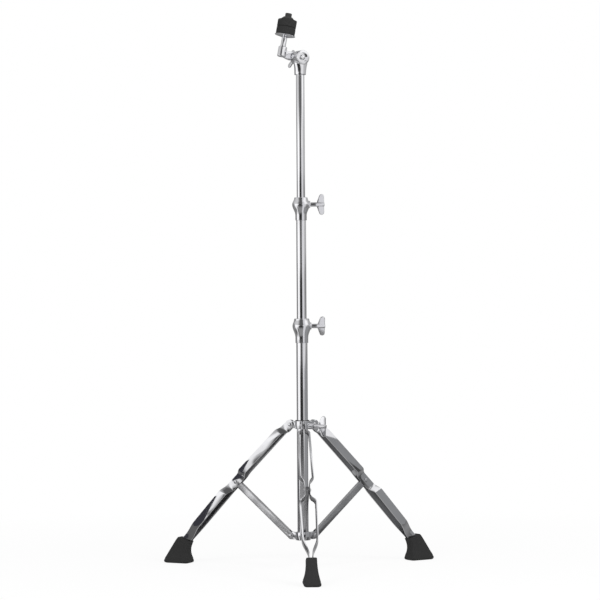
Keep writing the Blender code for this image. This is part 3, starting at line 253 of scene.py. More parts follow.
# Cymbal seat, along the rod from the arm's centre line
ROD_RADIUS = 0.0061
ROD_THREAD = 0.0040
ROD_SHOULDER = 0.0400
ROD_END = 0.0900
CUP_RADIUS = 0.0238
CUP_FLAT = 0.0120
CUP_SHEET = 0.0014
CUP_DEPTH = 0.0036
FELT_RADIUS = 0.0220
FELT_THICKNESS = 0.0176
FELT_RIM = 0.0016
FELT_NAP = 0.0004
FELT_NAP_ROOM = 0.0003
FELT_NAP_LEVEL = 0.75
FELT_CLUMP = 0.0022
FELT_CLEARANCE = 0.0010
CURL_RISE = 0.0015
CURL_DROP = 0.0010
CURL_BAND = 0.0010
CURL_GRIP = 0.006
CURL_REACH = 0.012
SEAT_NUT_BASE = 0.0148
SEAT_NUT_RIM = 0.0015
SEAT_NUT_SHOULDER = 0.0098
SEAT_NUT_TIP = 0.0074
SEAT_NUT_CONE = 0.0060
SEAT_NUT_HEIGHT = 0.0144

# Finishes: haze, share of the chrome's tone, and blur, a factor for the strips and added elsewhere
CHROME_HAZE = 0.10
STRIP_HAZE = 0.14
STRIP_TONE = 0.90
STRIP_BLUR = 1.4
# The tone inside the strips' channels, between the two strips, is a painted shade
CHANNEL_PAINTED_SHADE = 0.42
CHANNEL_BLUR = 0.22
BRACE_HAZE = 0.25
BRACE_TONE = 0.78
BRACE_BLUR = 0.22

# Stage: reflection ring, floor, cards and lamps
RING_RADIUS = 3.5
RING_BOTTOM = -0.2
RING_TOP = 5.0
RING_LOW_FADE = (0.86, 0.98)
RING_HIGH_FADE = (1.45, 1.85)
FLOOR_SIZE = 8.0
FLOOR_WHITE = 0.92
FLOOR_ROUGHNESS = 0.9
FLOOR_FADE = (0.75, 1.9)
SHADOW_SHARE = 0.11
SHADOW_FADE = (0.45, 1.60)
CARD_REACH = 0.10
ARM_CARD_RISE = 0.034
LAMP_SIZE = 1.2
LAMP_AIM = (0, 0, 0.6)
LAMPS = {"lamp_left": (-1.6, -2.2, 2.2), "lamp_right": (1.8, -1.8, 2.0)}
WORLD_LIGHT = 0.55


# Finish, camera and lamp settings that a user would change

class StandFinish(bpy.types.PropertyGroup):
    chrome_colour: bpy.props.FloatVectorProperty(
        name="Chrome colour", description="Tint of the plated steel", subtype="COLOR", size=3,
        min=0.0, max=1.0, default=(0.82, 0.82, 0.84))
    chrome_roughness: bpy.props.FloatProperty(
        name="Chrome roughness", description="Blur of the reflections in the plating", subtype="FACTOR",
        min=0.0, max=1.0, default=0.05)
    rubber_colour: bpy.props.FloatVectorProperty(
        name="Rubber colour", description="Colour of the moulded feet and plug", subtype="COLOR", size=3,
        min=0.0, max=1.0, default=(0.0060, 0.0060, 0.0090))
    felt_colour: bpy.props.FloatVectorProperty(
        name="Felt colour", description="Colour of the felt washers", subtype="COLOR", size=3,
        min=0.0, max=1.0, default=(0.0050, 0.0050, 0.0055))
    nylon_colour: bpy.props.FloatVectorProperty(
        name="Nylon colour", description="Colour of the nut, sleeve and bushes", subtype="COLOR", size=3,
        min=0.0, max=1.0, default=(0.007, 0.007, 0.008))
    turned_steps: bpy.props.IntProperty(
        name="Turned steps", description="Sides of a turned piece", min=24, max=128, default=72)


class StudioSetup(bpy.types.PropertyGroup):
    camera_distance: bpy.props.FloatProperty(
        name="Camera distance", description="From the mast's axis to the camera", subtype="DISTANCE",
        unit="LENGTH", default=6.0)
    camera_height: bpy.props.FloatProperty(
        name="Camera height", description="Height of the camera above the floor", subtype="DISTANCE",
        unit="LENGTH", default=0.681)
    camera_azimuth: bpy.props.FloatProperty(
        name="Camera azimuth", description="Direction from the mast to the camera", subtype="ANGLE",
        unit="ROTATION", default=math.radians(-93.24))
    camera_lens: bpy.props.FloatProperty(
        name="Focal length", description="Lens on a 36 mm wide sensor, in millimetres", default=158.6)
    aim_height: bpy.props.FloatProperty(
        name="Aim height", description="Height on the mast at the middle of the picture",
        subtype="DISTANCE", unit="LENGTH", default=0.611)
    aim_offset: bpy.props.FloatProperty(
        name="Aim offset", description="How far left of the mast the camera aims", subtype="DISTANCE",
        unit="LENGTH", default=0.0036)
    camera_roll: bpy.props.FloatProperty(
        name="Camera roll", description="Lean of the camera about its own axis", subtype="ANGLE",
        unit="ROTATION", default=math.radians(-0.37))
    key_power: bpy.props.FloatProperty(
        name="Key power", description="Power of each soft lamp, in watts", default=45.0)


# Materials

def new_material(name):
    material = bpy.data.materials.new(name)
    material.use_nodes = True
    return material, material.node_tree.nodes, material.node_tree.links


def object_noise(nodes, links, scale, detail=4.0):
    coordinates = nodes.new("ShaderNodeTexCoord")
    noise = nodes.new("ShaderNodeTexNoise")
    noise.inputs["Scale"].default_value = scale
    noise.inputs["Detail"].default_value = detail
    links.new(coordinates.outputs["Object"], noise.inputs["Vector"])
    return noise.outputs["Fac"]


def map_range(nodes, links, source, low, high, start=0.0, end=1.0):
    spread = nodes.new("ShaderNodeMapRange")
    spread.inputs["From Min"].default_value = start
    spread.inputs["From Max"].default_value = end
    spread.inputs["To Min"].default_value = low
    spread.inputs["To Max"].default_value = high
    links.new(source, spread.inputs["Value"])
    return spread.outputs["Result"]


def blend_colours(nodes, links, share, first, second):
    mix = nodes.new("ShaderNodeMix")
    mix.data_type = "RGBA"
    mix.inputs["A"].default_value = (*first, 1.0)
    mix.inputs["B"].default_value = (*second, 1.0)
    links.new(share, mix.inputs["Factor"])
    return mix.outputs["Result"]


def shaded(colour, share):
    return [channel * share for channel in colour]


def bump_from(nodes, links, source, shader, strength, distance):
    bump = nodes.new("ShaderNodeBump")
    bump.inputs["Strength"].default_value = strength
    bump.inputs["Distance"].default_value = distance
    links.new(source, bump.inputs["Height"])
    links.new(bump.outputs["Normal"], shader.inputs["Normal"])


def plated_material(name, colour, roughness, haze):
    """Chrome plate: faint haze in patches, duller and rougher there, and a very fine unevenness."""
    material, nodes, links = new_material(name)
    shader = nodes["Principled BSDF"]
    shader.inputs["Metallic"].default_value = 1.0
    cloud = object_noise(nodes, links, scale=22.0, detail=6.0)
    patches = map_range(nodes, links, cloud, low=0.0, high=1.0, start=0.42, end=0.72)
    dull = shaded(colour, 1.0 - haze)
    links.new(blend_colours(nodes, links, patches, colour, dull), shader.inputs["Base Color"])
    links.new(map_range(nodes, links, patches, low=roughness * 0.7, high=roughness * 1.8),
              shader.inputs["Roughness"])
    ripple = object_noise(nodes, links, scale=260.0, detail=3.0)
    bump_from(nodes, links, ripple, shader, strength=0.03, distance=0.00004)
    return material


def mottled_material(name, colour, roughness, scale, depth):
    """A dark moulded surface with a fine bump and a slight change of tone."""
    material, nodes, links = new_material(name)
    shader = nodes["Principled BSDF"]
    shader.inputs["Specular IOR Level"].default_value = 0.11
    grain = object_noise(nodes, links, scale)
    cloud = object_noise(nodes, links, scale=35.0, detail=8.0)
    scuffs = map_range(nodes, links, cloud, low=0.0, high=1.0, start=0.5, end=0.8)
    dark = shaded(colour, 0.75)
    pale = [channel + 0.002 for channel in shaded(colour, 1.5)]
    links.new(blend_colours(nodes, links, scuffs, dark, pale), shader.inputs["Base Color"])
    links.new(map_range(nodes, links, grain, low=roughness * 0.85, high=roughness * 1.15),
              shader.inputs["Roughness"])
    bump_from(nodes, links, grain, shader, strength=0.35, distance=depth)
    return material


def felt_material(colour):
    """Pressed wool: matted fibres, a soft sheen and a fine uneven nap."""
    material, nodes, links = new_material("pressed_felt")
    shader = nodes["Principled BSDF"]
    shader.inputs["Specular IOR Level"].default_value = 0.02
    shader.inputs["Sheen Weight"].default_value = 0.004
    shader.inputs["Sheen Roughness"].default_value = 0.6
    fibres = object_noise(nodes, links, scale=1400.0, detail=8.0)
    blend = blend_colours(nodes, links, fibres, shaded(colour, 0.6), shaded(colour, 1.8))
    links.new(blend, shader.inputs["Base Color"])
    links.new(map_range(nodes, links, fibres, low=0.9, high=1.0), shader.inputs["Roughness"])
    bump_from(nodes, links, fibres, shader, strength=0.6, distance=0.0004)
    return material


def pressed_plate_material(finish):
    """The strips' plating: bright outside, and on the faces inside the channels, between the two strips, a
    painted shade and a rougher finish.
    """
    outside = shaded(finish.chrome_colour, STRIP_TONE)
    inside = shaded(finish.chrome_colour, CHANNEL_PAINTED_SHADE)
    material = plated_material("pressed_plate", outside, finish.chrome_roughness * STRIP_BLUR, STRIP_HAZE)
    nodes, links = material.node_tree.nodes, material.node_tree.links
    shader = nodes["Principled BSDF"]
    # Faces marked inside the channels get a painted shade, a darker colour, as well as more blur
    inner = nodes.new("ShaderNodeAttribute")
    inner.attribute_name = INNER_FACE
    colour = shader.inputs["Base Color"].links[0].from_socket
    mix = nodes.new("ShaderNodeMix")
    mix.data_type = "RGBA"
    links.new(inner.outputs["Fac"], mix.inputs["Factor"])
    links.new(colour, mix.inputs["A"])
    mix.inputs["B"].default_value = (*inside, 1.0)
    links.new(mix.outputs["Result"], shader.inputs["Base Color"])
    blur = nodes.new("ShaderNodeMath")
    blur.operation = "MULTIPLY_ADD"
    links.new(inner.outputs["Fac"], blur.inputs[0])
    blur.inputs[1].default_value = CHANNEL_BLUR
    links.new(shader.inputs["Roughness"].links[0].from_socket, blur.inputs[2])
    links.new(blur.outputs[0], shader.inputs["Roughness"])
    return material


def finish_material(finish, name):
    """One of the stand's finishes, made when it is first asked for."""
    if name not in bpy.data.materials:
        colour, roughness = finish.chrome_colour, finish.chrome_roughness
        makers = {
            "chrome": lambda: plated_material(name, colour, roughness, CHROME_HAZE),
            "pressed_plate": lambda: pressed_plate_material(finish),
            "dull_plate": lambda: plated_material(name, shaded(colour, BRACE_TONE), roughness + BRACE_BLUR,
                                                  BRACE_HAZE),
            "rubber": lambda: mottled_material(name, finish.rubber_colour, roughness=0.55, scale=700.0,
                                               depth=0.0002),
            "nylon": lambda: mottled_material(name, finish.nylon_colour, roughness=0.38, scale=900.0,
                                              depth=0.0001),
            "felt": lambda: felt_material(finish.felt_colour),
        }
        makers["steel"] = makers["chrome"]
        makers[name]().name = name
    return bpy.data.materials[name]


# Modelling helpers

def deselect_all():
    if bpy.context.object is not None and bpy.context.object.mode == "EDIT":
        bpy.ops.object.mode_set(mode="OBJECT")
    bpy.ops.object.select_all(action="DESELECT")


def make_active(obj):
    deselect_all()
    obj.select_set(True)
    bpy.context.view_layer.objects.active = obj


def edit_all(obj):
    make_active(obj)
    bpy.ops.object.mode_set(mode="EDIT")
    bpy.context.tool_settings.mesh_select_mode = (True, False, False)
    bpy.ops.mesh.select_all(action="SELECT")


def close_up(merge=0.00002):
    """Merge the seam and poles, point the faces outwards and leave edit mode."""
    bpy.ops.mesh.select_all(action="SELECT")
    bpy.ops.mesh.remove_doubles(threshold=merge)
    bpy.ops.mesh.normals_make_consistent(inside=False)
    bpy.ops.object.mode_set(mode="OBJECT")


def begin_point(name, place):
    """A mesh in edit mode that holds one selected point."""
    deselect_all()
    bpy.ops.mesh.primitive_plane_add(size=0.01, location=(0, 0, 0))
    obj = bpy.context.object
    obj.name = obj.data.name = name
    edit_all(obj)
    bpy.ops.mesh.merge(type="CENTER")
    bpy.ops.transform.translate(value=place)
    return obj


def draw_line(points):
    """Extrude the selected point along a row of places, the first of which it is at."""
    for start, end in zip(points, points[1:]):
        step = Vector(end) - Vector(start)
        bpy.ops.mesh.extrude_vertices_move(TRANSFORM_OT_translate={"value": step})


def turned(name, profile, closed=False, steps=None):
    """Draw half a section from (radius, height) points and spin it once round the Z axis."""
    points = [(radius, 0, height) for radius, height in profile]
    if closed:
        points.append(points[0])
    obj = begin_point(name, points[0])
    draw_line(points)
    bpy.ops.mesh.select_all(action="SELECT")
    bpy.ops.mesh.spin(steps=steps or bpy.context.scene.stand_finish.turned_steps, angle=2 * math.pi,
                      center=(0, 0, 0), axis=(0, 0, 1))
    close_up()
    return obj


def plate(name, outline, thickness):
    """Draw an outline in x and z, fill it, and pull it to a thickness centred on y = 0."""
    points = [(x, -thickness / 2, z) for x, z in outline]
    obj = begin_point(name, points[0])
    draw_line(points)
    bpy.ops.mesh.select_all(action="SELECT")
    bpy.ops.mesh.edge_face_add()
    bpy.ops.mesh.extrude_region_move(TRANSFORM_OT_translate={"value": (0, thickness, 0)})
    close_up()
    return obj


def block(name, low, high):
    """A box between two corners, used to cut with."""
    deselect_all()
    low, high = Vector(low), Vector(high)
    bpy.ops.mesh.primitive_cube_add(size=1.0, location=(low + high) / 2, scale=high - low)
    obj = bpy.context.object
    obj.name = name
    return obj


def rod(name, radius, low, high, steps=48):
    """A cylinder along Z, used to cut or join with."""
    deselect_all()
    bpy.ops.mesh.primitive_cylinder_add(vertices=steps, radius=radius, depth=high - low,
                                        location=(0, 0, (low + high) / 2))
    obj = bpy.context.object
    obj.name = name
    apply_place(obj)
    return obj


def apply_place(obj, place=None):
    if place is not None:
        obj.matrix_world = place @ obj.matrix_world
    make_active(obj)
    bpy.ops.object.transform_apply(location=True, rotation=True, scale=True)


def apply_modifier(obj, kind, **values):
    modifier = obj.modifiers.new(kind.lower(), kind)
    for key, value in values.items():
        setattr(modifier, key, value)
    make_active(obj)
    bpy.ops.object.modifier_apply(modifier=modifier.name)


def round_edges(obj, width=ROUNDING, segments=3, angle=38):
    apply_modifier(obj, "BEVEL", width=width, segments=segments, limit_method="ANGLE",
                   angle_limit=math.radians(angle), use_clamp_overlap=True)


def combine(obj, tool, operation):
    """Join a second shape on, or cut it out, and remove it."""
    apply_modifier(obj, "BOOLEAN", object=tool, operation=operation, solver="EXACT")
    bpy.data.objects.remove(tool, do_unlink=True)


def join(obj, tool):
    combine(obj, tool, "UNION")


def cut(obj, tool):
    combine(obj, tool, "DIFFERENCE")


def smooth(obj, angle=35):
    make_active(obj)
    bpy.ops.object.shade_smooth_by_angle(angle=math.radians(angle))


def hand_over(obj, node, place=None, angle=35, material=None):
    """Put a finished piece in place of a node: its body, its slot and its finish."""
    if place is not None:
        apply_place(obj, place)
    smooth(obj, angle)
    obj.name = obj.data.name = "finished_" + node
    obj.data.materials.clear()
    obj.data.materials.append(finish_material(bpy.context.scene.stand_finish, material or SLOT_OF[node]))
    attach(obj, BODY_OF[node])
    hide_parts(node)


def copy_of(obj, place=None, mirror=None):
    """A copy with its own mesh, moved and mirrored, with its faces still outwards."""
    twin = obj.copy()
    twin.data = obj.data.copy()
    bpy.context.scene.collection.objects.link(twin)
    if mirror is not None:
        twin.matrix_world = Matrix.Scale(-1, 4, mirror) @ twin.matrix_world
    apply_place(twin, place)
    if mirror is not None:
        edit_all(twin)
        close_up()
    return twin


def leg_place(side):
    return MAST_PLACE @ Matrix.Rotation(math.radians(LEG_AZIMUTHS[side]), 4, "Z")


def ease(start, end, share):
    return start + (end - start) * (1 - math.cos(math.pi * share)) / 2


def arc(centre, radius, start, end, steps):
    """Points on an arc, in degrees."""
    for step in range(steps + 1):
        angle = math.radians(start + (end - start) * step / steps)
        yield centre[0] + radius * math.cos(angle), centre[1] + radius * math.sin(angle)


def stadium(start, end, radius, steps=16):
    """Outline of a bar with round ends, from one centre to another."""
    heading = math.degrees(math.atan2(end[1] - start[1], end[0] - start[0]))
    return (list(arc(end, radius, heading - 90, heading + 90, steps))
            + list(arc(start, radius, heading + 90, heading + 270, steps)))


# Tubes, plug and bushes

def make_tube(node, radius):
    low, high = bottom(node), top(node)
    inner = radius - TUBE_WALL
    tube = turned(node, [(inner, high), (radius, high), (radius, low), (inner, low)], closed=True)
    round_edges(tube, FINE_ROUNDING)
    hand_over(tube, node, MAST_PLACE)


class StandTubes(bpy.types.Operator):
    """Draw the three chromed tubes and the plug under them."""
    bl_idname = "stand.tubes"
    bl_label = "Tubes"

    def execute(self, context):
        for node in ("base_tube", "middle_tube", "upper_tube"):
            make_tube(node, radius_of(node))
        low, high = bottom("base_tube_plug"), top("base_tube_plug")
        outer = radius_of("base_tube")
        bore = outer - TUBE_WALL - SEAT_GAP
        rim = bottom("base_tube") - SEAT_GAP
        plug = turned("plug", [(0, high), (bore, high), (bore, rim), (outer, rim), (outer, low), (0, low)])
        round_edges(plug)
        hand_over(plug, "base_tube_plug", MAST_PLACE)
        return {"FINISHED"}


# Clamps

def clamp_outline(height, top_radius, bulge_radius, neck_radius):
    """Pear-shaped casting, from its lip down past the bulge to a short straight skirt."""
    bulge, neck = height * CLAMP_BULGE_SHARE, height * CLAMP_NECK_SHARE
    start = height - CLAMP_LIP / 2
    upper, lower = 8, 10
    outer = [(top_radius - CLAMP_LIP / 2, height)]
    outer += [(ease(top_radius, bulge_radius, step / upper), start + (bulge - start) * step / upper)
              for step in range(upper + 1)]
    outer += [(ease(bulge_radius, neck_radius, step / lower), bulge + (neck - bulge) * step / lower)
              for step in range(1, lower + 1)]
    return outer + [(neck_radius, 0)]


def make_clamp(node, top_radius, bulge_radius, outer_tube, inner_tube):
    height = top(node) - bottom(node)
    bush = inner_tube + SLIDE_GAP + BUSH_WALL + SEAT_GAP
    bore, lip = outer_tube + SEAT_GAP, inner_tube + 2 * SLIDE_GAP
    profile = clamp_outline(height, top_radius, bulge_radius, bore + CLAMP_WALL)
    profile += [(bore, 0), (bore, CLAMP_SEAT), (bush, CLAMP_SEAT), (bush, height - CLAMP_LIP),
                (lip, height - CLAMP_LIP), (lip, height)]
    clamp = turned(node, profile, closed=True)
    round_edges(clamp, FINE_ROUNDING)
    outwards = (Matrix.Translation((0, 0, height * CLAMP_BULGE_SHARE))
                @ Matrix.Rotation(math.radians(90), 4, "Y"))
    reach, root = bulge_radius + CLAMP_BOSS_REACH, bush + TUBE_WALL
    boss = turned("boss", [(0, reach), (CLAMP_BOSS_RADIUS, reach), (CLAMP_BOSS_RADIUS, root), (0, root)],
                  steps=48)
    round_edges(boss, CAST_ROUNDING, segments=4)
    apply_place(boss, outwards)
    join(clamp, boss)
    thread = rod("thread", SCREW_RADIUS + SEAT_GAP, bush - SEAT_GAP, bulge_radius + 2 * CLAMP_BOSS_REACH)
    apply_place(thread, outwards)
    cut(clamp, thread)
    hand_over(clamp, node, MAST_PLACE @ Matrix.Translation((0, 0, bottom(node))))


def make_bush(node, inner, wall):
    low, high = bottom(node), top(node)
    bush = turned(node, [(inner, high), (inner + wall, high), (inner + wall, low), (inner, low)], closed=True)
    round_edges(bush, BUSH_ROUNDING)
    hand_over(bush, node, MAST_PLACE)


class StandClamps(bpy.types.Operator):
    """Cast the two height clamps and turn their nylon bushes."""
    bl_idname = "stand.clamps"
    bl_label = "Clamps"

    def execute(self, context):
        base, mid, upper = (radius_of(name) for name in ("base_tube", "middle_tube", "upper_tube"))
        make_clamp("base_clamp", BASE_CLAMP_TOP, BASE_CLAMP_BULGE, base, mid)
        make_clamp("middle_clamp", MIDDLE_CLAMP_TOP, MIDDLE_CLAMP_BULGE, mid, upper)
        make_bush("base_clamp_bush", mid + SLIDE_GAP, BUSH_WALL)
        make_bush("middle_clamp_bush", upper + SLIDE_GAP, BUSH_WALL)
        return {"FINISHED"}


# Wing screws

def tangent_angle(point, centre, radius, side):
    """Where the line from a point touches a circle, in degrees about the circle's centre."""
    reach = Vector(centre) - Vector(point)
    heading = math.atan2(reach.y, reach.x)
    return math.degrees(heading + side * (math.asin(radius / reach.length) + math.pi / 2))


def wing_outline(span, length, lean=0):
    """Two round lobes on tapering arms, in span (x) and along the screw (z)."""
    lobe = (span / 2 - WING_LOBE, length + lean - WING_LOBE)
    crown = (WING_ROOT[0], length)
    first = tangent_angle(WING_ROOT, lobe, WING_LOBE, -1)
    last = tangent_angle(crown, lobe, WING_LOBE, 1)
    side = [WING_ROOT] + list(arc(lobe, WING_LOBE, first, last, 14))
    if lean:
        side.append(crown)
    return side + [(-x, z) for x, z in reversed(side)]


def wing_plate(start, span, length, lean=0):
    outline = [(x, z + start) for x, z in wing_outline(span, length, lean)]
    wings = plate("wings", outline, WING_THICKNESS)
    round_edges(wings, SOFT_ROUNDING, segments=4, angle=BLUNT_ANGLE)
    return wings


def make_wing_screw(node, tip, hub_start, wing_start, place):
    crown = wing_start + WING_LENGTH + WING_CROWN
    profile = [(0, crown), (HUB_RADIUS - HUB_CHAMFER, crown), (HUB_RADIUS, crown - HUB_CHAMFER),
               (HUB_RADIUS, hub_start), (SCREW_RADIUS, hub_start), (SCREW_RADIUS, tip + SCREW_CHAMFER),
               (SCREW_RADIUS - SCREW_CHAMFER, tip), (0, tip)]
    screw = turned(node, profile, steps=48)
    round_edges(screw)
    join(screw, wing_plate(wing_start, WING_SPAN, WING_LENGTH))
    hand_over(screw, node, place)


class StandWingScrews(bpy.types.Operator):
    """Model the wing screws of both clamps and of the sliding collar."""
    bl_idname = "stand.wing_screws"
    bl_label = "Wing Screws"

    def execute(self, context):
        rows = (("base_clamp_wing_bolt", "middle_tube", BASE_CLAMP_BULGE, BASE_WING_TURN),
                ("middle_clamp_wing_bolt", "upper_tube", MIDDLE_CLAMP_BULGE, 0.0))
        for node, tube, bulge, turn in rows:
            place = (MAST_PLACE @ Matrix.Translation((0, 0, middle(node).z))
                     @ Matrix.Rotation(math.radians(90), 4, "Y") @ Matrix.Rotation(math.pi + turn, 4, "Z"))
            tip = radius_of(tube) + SLIDE_GAP + BUSH_WALL + SEAT_GAP
            make_wing_screw(node, tip, bulge + CLAMP_BOSS_REACH + HUB_GAP, WING_START, place)
        node = "collar_wing_bolt"
        place = (MAST_PLACE @ Matrix.Translation((0, 0, middle(node).z))
                 @ Matrix.Rotation(COLLAR_BOLT_AZIMUTH, 4, "Z") @ Matrix.Rotation(math.radians(90), 4, "Y")
                 @ Matrix.Rotation(math.pi, 4, "Z"))
        tip = radius_of("base_tube") + SLIDE_GAP + COLLAR_BUSH_WALL + SEAT_GAP
        make_wing_screw(node, tip, COLLAR_HUB + COLLAR_BOSS_REACH + HUB_GAP, COLLAR_WING_START, place)
        return {"FINISHED"}


# Collars

def make_collar(node, bore):
    """A hub with one flat tongue for each leg, centred on z = 0."""
    half = COLLAR_HEIGHT / 2
    collar = turned(node, [(bore, half), (COLLAR_HUB, half), (COLLAR_HUB, -half), (bore, -half)], closed=True)
    round_edges(collar, TURNED_ROUNDING)
    root = (bore + COLLAR_HUB) / 2 + TONGUE_END
    for azimuth in LEG_AZIMUTHS.values():
        tongue = plate("tongue", stadium((root, 0), (PIVOT_RADIUS, 0), TONGUE_END), TONGUE_THICKNESS)
        round_edges(tongue, TONGUE_ROUNDING, angle=BLUNT_ANGLE)
        apply_place(tongue, Matrix.Rotation(math.radians(azimuth), 4, "Z"))
        join(collar, tongue)
    return collar


class StandCollars(bpy.types.Operator):
    """Model the fixed and the sliding leg collar and the sliding one's bush."""
    bl_idname = "stand.collars"
    bl_label = "Collars"

    def execute(self, context):
        tube = radius_of("base_tube")
        lower = make_collar("lower_collar", tube + SEAT_GAP)
        hand_over(lower, "lower_leg_collar", MAST_PLACE @ Matrix.Translation((0, 0, LOWER_PIVOT)))
        bore = tube + SLIDE_GAP + COLLAR_BUSH_WALL + SEAT_GAP
        upper = make_collar("upper_collar", bore)
        drop = middle("collar_wing_bolt").z - UPPER_PIVOT
        outwards = (Matrix.Translation((0, 0, drop)) @ Matrix.Rotation(COLLAR_BOLT_AZIMUTH, 4, "Z")
                    @ Matrix.Rotation(math.radians(90), 4, "Y"))
        reach = COLLAR_HUB + COLLAR_BOSS_REACH
        start = (bore + COLLAR_HUB) / 2
        boss = turned("boss", [(0, reach), (COLLAR_BOSS_RADIUS, reach), (COLLAR_BOSS_RADIUS, start),
                               (0, start)], steps=48)
        round_edges(boss, COLLAR_BOSS_ROUNDING, segments=4)
        apply_place(boss, outwards)
        join(upper, boss)
        thread = rod("thread", SCREW_RADIUS + SEAT_GAP, bore - SEAT_GAP, reach + SEAT_GAP)
        apply_place(thread, outwards)
        cut(upper, thread)
        hand_over(upper, "upper_leg_collar", MAST_PLACE @ Matrix.Translation((0, 0, UPPER_PIVOT)))
        low, high = bottom("collar_bush"), top("collar_bush")
        shoulder = UPPER_PIVOT + COLLAR_HEIGHT / 2 + SEAT_GAP
        inner = tube + SLIDE_GAP
        outer = inner + COLLAR_BUSH_WALL
        rim = (outer + COLLAR_HUB) / 2
        bush = turned("bush", [(inner, high), (rim, high), (rim, shoulder), (outer, shoulder), (outer, low),
                               (inner, low)], closed=True)
        round_edges(bush, BUSH_ROUNDING)
        hand_over(bush, "collar_bush", MAST_PLACE)
        return {"FINISHED"}


# Leg strips

class Station:
    """One section of a strip: its place along the leg, and its spacing, fold, rise, skew and width."""

    def __init__(self, at, spacing, fold=0.0, rise=0.0, skew=0.0, half=None):
        self.at, self.spacing, self.fold, self.rise, self.skew = at, spacing, fold, rise, skew
        flat, face = STRIP_FLAT_WIDTH / 2, STRIP_FACE_WIDTH / 2
        self.half = flat + (face - flat) * fold if half is None else half

    def towards(self, other, share):
        """A station part of the way to another, along an S curve."""
        values = [ease(getattr(self, key), getattr(other, key), share)
                  for key in ("spacing", "fold", "rise", "skew", "half")]
        at = self.at + (other.at - self.at) * share
        return Station(at, values[0], values[1], values[2], values[3], values[4])

    def centre(self):
        lean = 0 if self.at < 0 else self.at * math.sin(LEG_BEND)
        drop = self.at if self.at < 0 else self.at * math.cos(LEG_BEND)
        return Vector((self.rise - lean, self.spacing / 2 + STRIP_THICKNESS / 2, -drop))


def strip_stations():
    """From the rounded upper end, over both bows, to the rounded end in the foot."""
    start = Station(-UPPER_LEG, PIVOT_SPACING, rise=STRIP_TOP_RISE)
    first_flat = Station(-UPPER_LEG + TOP_FLAT, PIVOT_SPACING, rise=STRIP_TOP_RISE, skew=STRIP_SKEW)
    upper_start = Station(-UPPER_LEG + TOP_FLAT + TOP_JOGGLE, UPPER_BOW_SPACING[0], 1.0, UPPER_BOW_RISE[0],
                          STRIP_SKEW)
    upper_end = Station(-KNEE_FLAT - KNEE_UPPER_JOGGLE, UPPER_BOW_SPACING[1], 1.0, UPPER_BOW_RISE[1],
                        STRIP_SKEW)
    knee_in = Station(-KNEE_FLAT, KNEE_SPACING, skew=STRIP_SKEW)
    knee_out = Station(KNEE_FLAT, KNEE_SPACING, skew=STRIP_SKEW)
    lower_start = Station(KNEE_FLAT + KNEE_LOWER_JOGGLE, LOWER_BOW_SPACING[0], 1.0, LOWER_BOW_RISE[0],
                          STRIP_SKEW)
    sweep_start = Station(LOWER_LEG - FOOT_FLAT - FOOT_SWEEP, LOWER_BOW_SPACING[1], 1.0, LOWER_BOW_RISE[1])
    sweep_end = Station(LOWER_LEG - FOOT_FLAT, PIVOT_SPACING)
    radius = STRIP_FLAT_WIDTH / 2
    end = Station(LOWER_LEG - radius, PIVOT_SPACING)
    rows = []
    for degrees in STRIP_END_ANGLES:
        angle = math.radians(degrees)
        rows.append(Station(start.at - radius * math.cos(angle), start.spacing, 0.0, start.rise, 0.0,
                            radius * math.sin(angle)))
    rows += [start, first_flat]
    for low, high, steps in ((first_flat, upper_start, 3), (upper_start, upper_end, 1),
                             (upper_end, knee_in, 3), (knee_in, knee_out, 1), (knee_out, lower_start, 3),
                             (lower_start, sweep_start, 1), (sweep_start, sweep_end, 8)):
        rows += [low.towards(high, step / steps) for step in range(1, steps + 1)]
    rows.append(end)
    for degrees in reversed(STRIP_END_ANGLES):
        angle = math.radians(degrees)
        rows.append(Station(end.at + radius * math.cos(angle), end.spacing, half=radius * math.sin(angle)))
    return rows


def section_points(station):
    """The channel section: an outer face, and flanges folded inwards along both sides."""
    web = station.half - min(STRIP_THICKNESS, station.half / 2)
    tip = -STRIP_THICKNESS - FLANGE_STUB - STRIP_FLANGE * station.fold
    shape = ((-station.half, 0), (station.half, 0), (station.half, tip), (web, tip), (web, -STRIP_THICKNESS),
             (-web, -STRIP_THICKNESS), (-web, tip), (-station.half, tip))
    return [station.centre() + Vector((x, y, -x * station.skew)) for x, y in shape]


def loft_sections(name, rings):
    """Extrude a filled first section from ring to ring, setting each corner in its place."""
    obj = begin_point(name, rings[0][0])
    draw_line(rings[0])
    bpy.ops.mesh.select_all(action="SELECT")
    bpy.ops.mesh.edge_face_add()
    for low, high in zip(rings, rings[1:]):
        step = high[0] - low[0]
        bpy.ops.mesh.extrude_region_move(TRANSFORM_OT_translate={"value": step})
        mesh = bmesh.from_edit_mesh(obj.data)
        face = next(face for face in mesh.faces if face.select)
        points = list(face.verts)
        for corner, target in zip(low, high):
            lifted = corner + step
            nearest = min(points, key=lambda vertex: (vertex.co - lifted).length)
            nearest.co = target
        bmesh.update_edit_mesh(obj.data)
    close_up(merge=0.000005)
    return obj


class StandLegs(bpy.types.Operator):
    """Press one strip and fold one brace, and copy them to each leg."""
    bl_idname = "stand.legs"
    bl_label = "Legs"

    def execute(self, context):
        knee = Matrix.Translation((KNEE_RADIUS, 0, KNEE_HEIGHT))
        along = Matrix.Rotation(-LEG_ANGLE, 4, "Y")
        strip = loft_sections("strip", [section_points(row) for row in strip_stations()])
        round_edges(strip, STRIP_ROUNDING, angle=BLUNT_ANGLE)
        mark_inner_faces(strip)
        apply_place(strip, knee @ along)
        brace = make_brace()
        apply_place(brace, Matrix.Translation((PIVOT_RADIUS, 0, LOWER_PIVOT)))
        for side in LEG_AZIMUTHS:
            for label, sign in (("left", -1), ("right", 1)):
                mirror = Vector((0, 1, 0)) if sign < 0 else None
                twin = copy_of(strip, leg_place(side), mirror)
                hand_over(twin, f"{side}_leg_{label}_strip", material="pressed_plate")
            hand_over(copy_of(brace, leg_place(side)), side + "_brace", material="dull_plate")
        for piece in (strip, brace):
            bpy.data.objects.remove(piece, do_unlink=True)
        return {"FINISHED"}


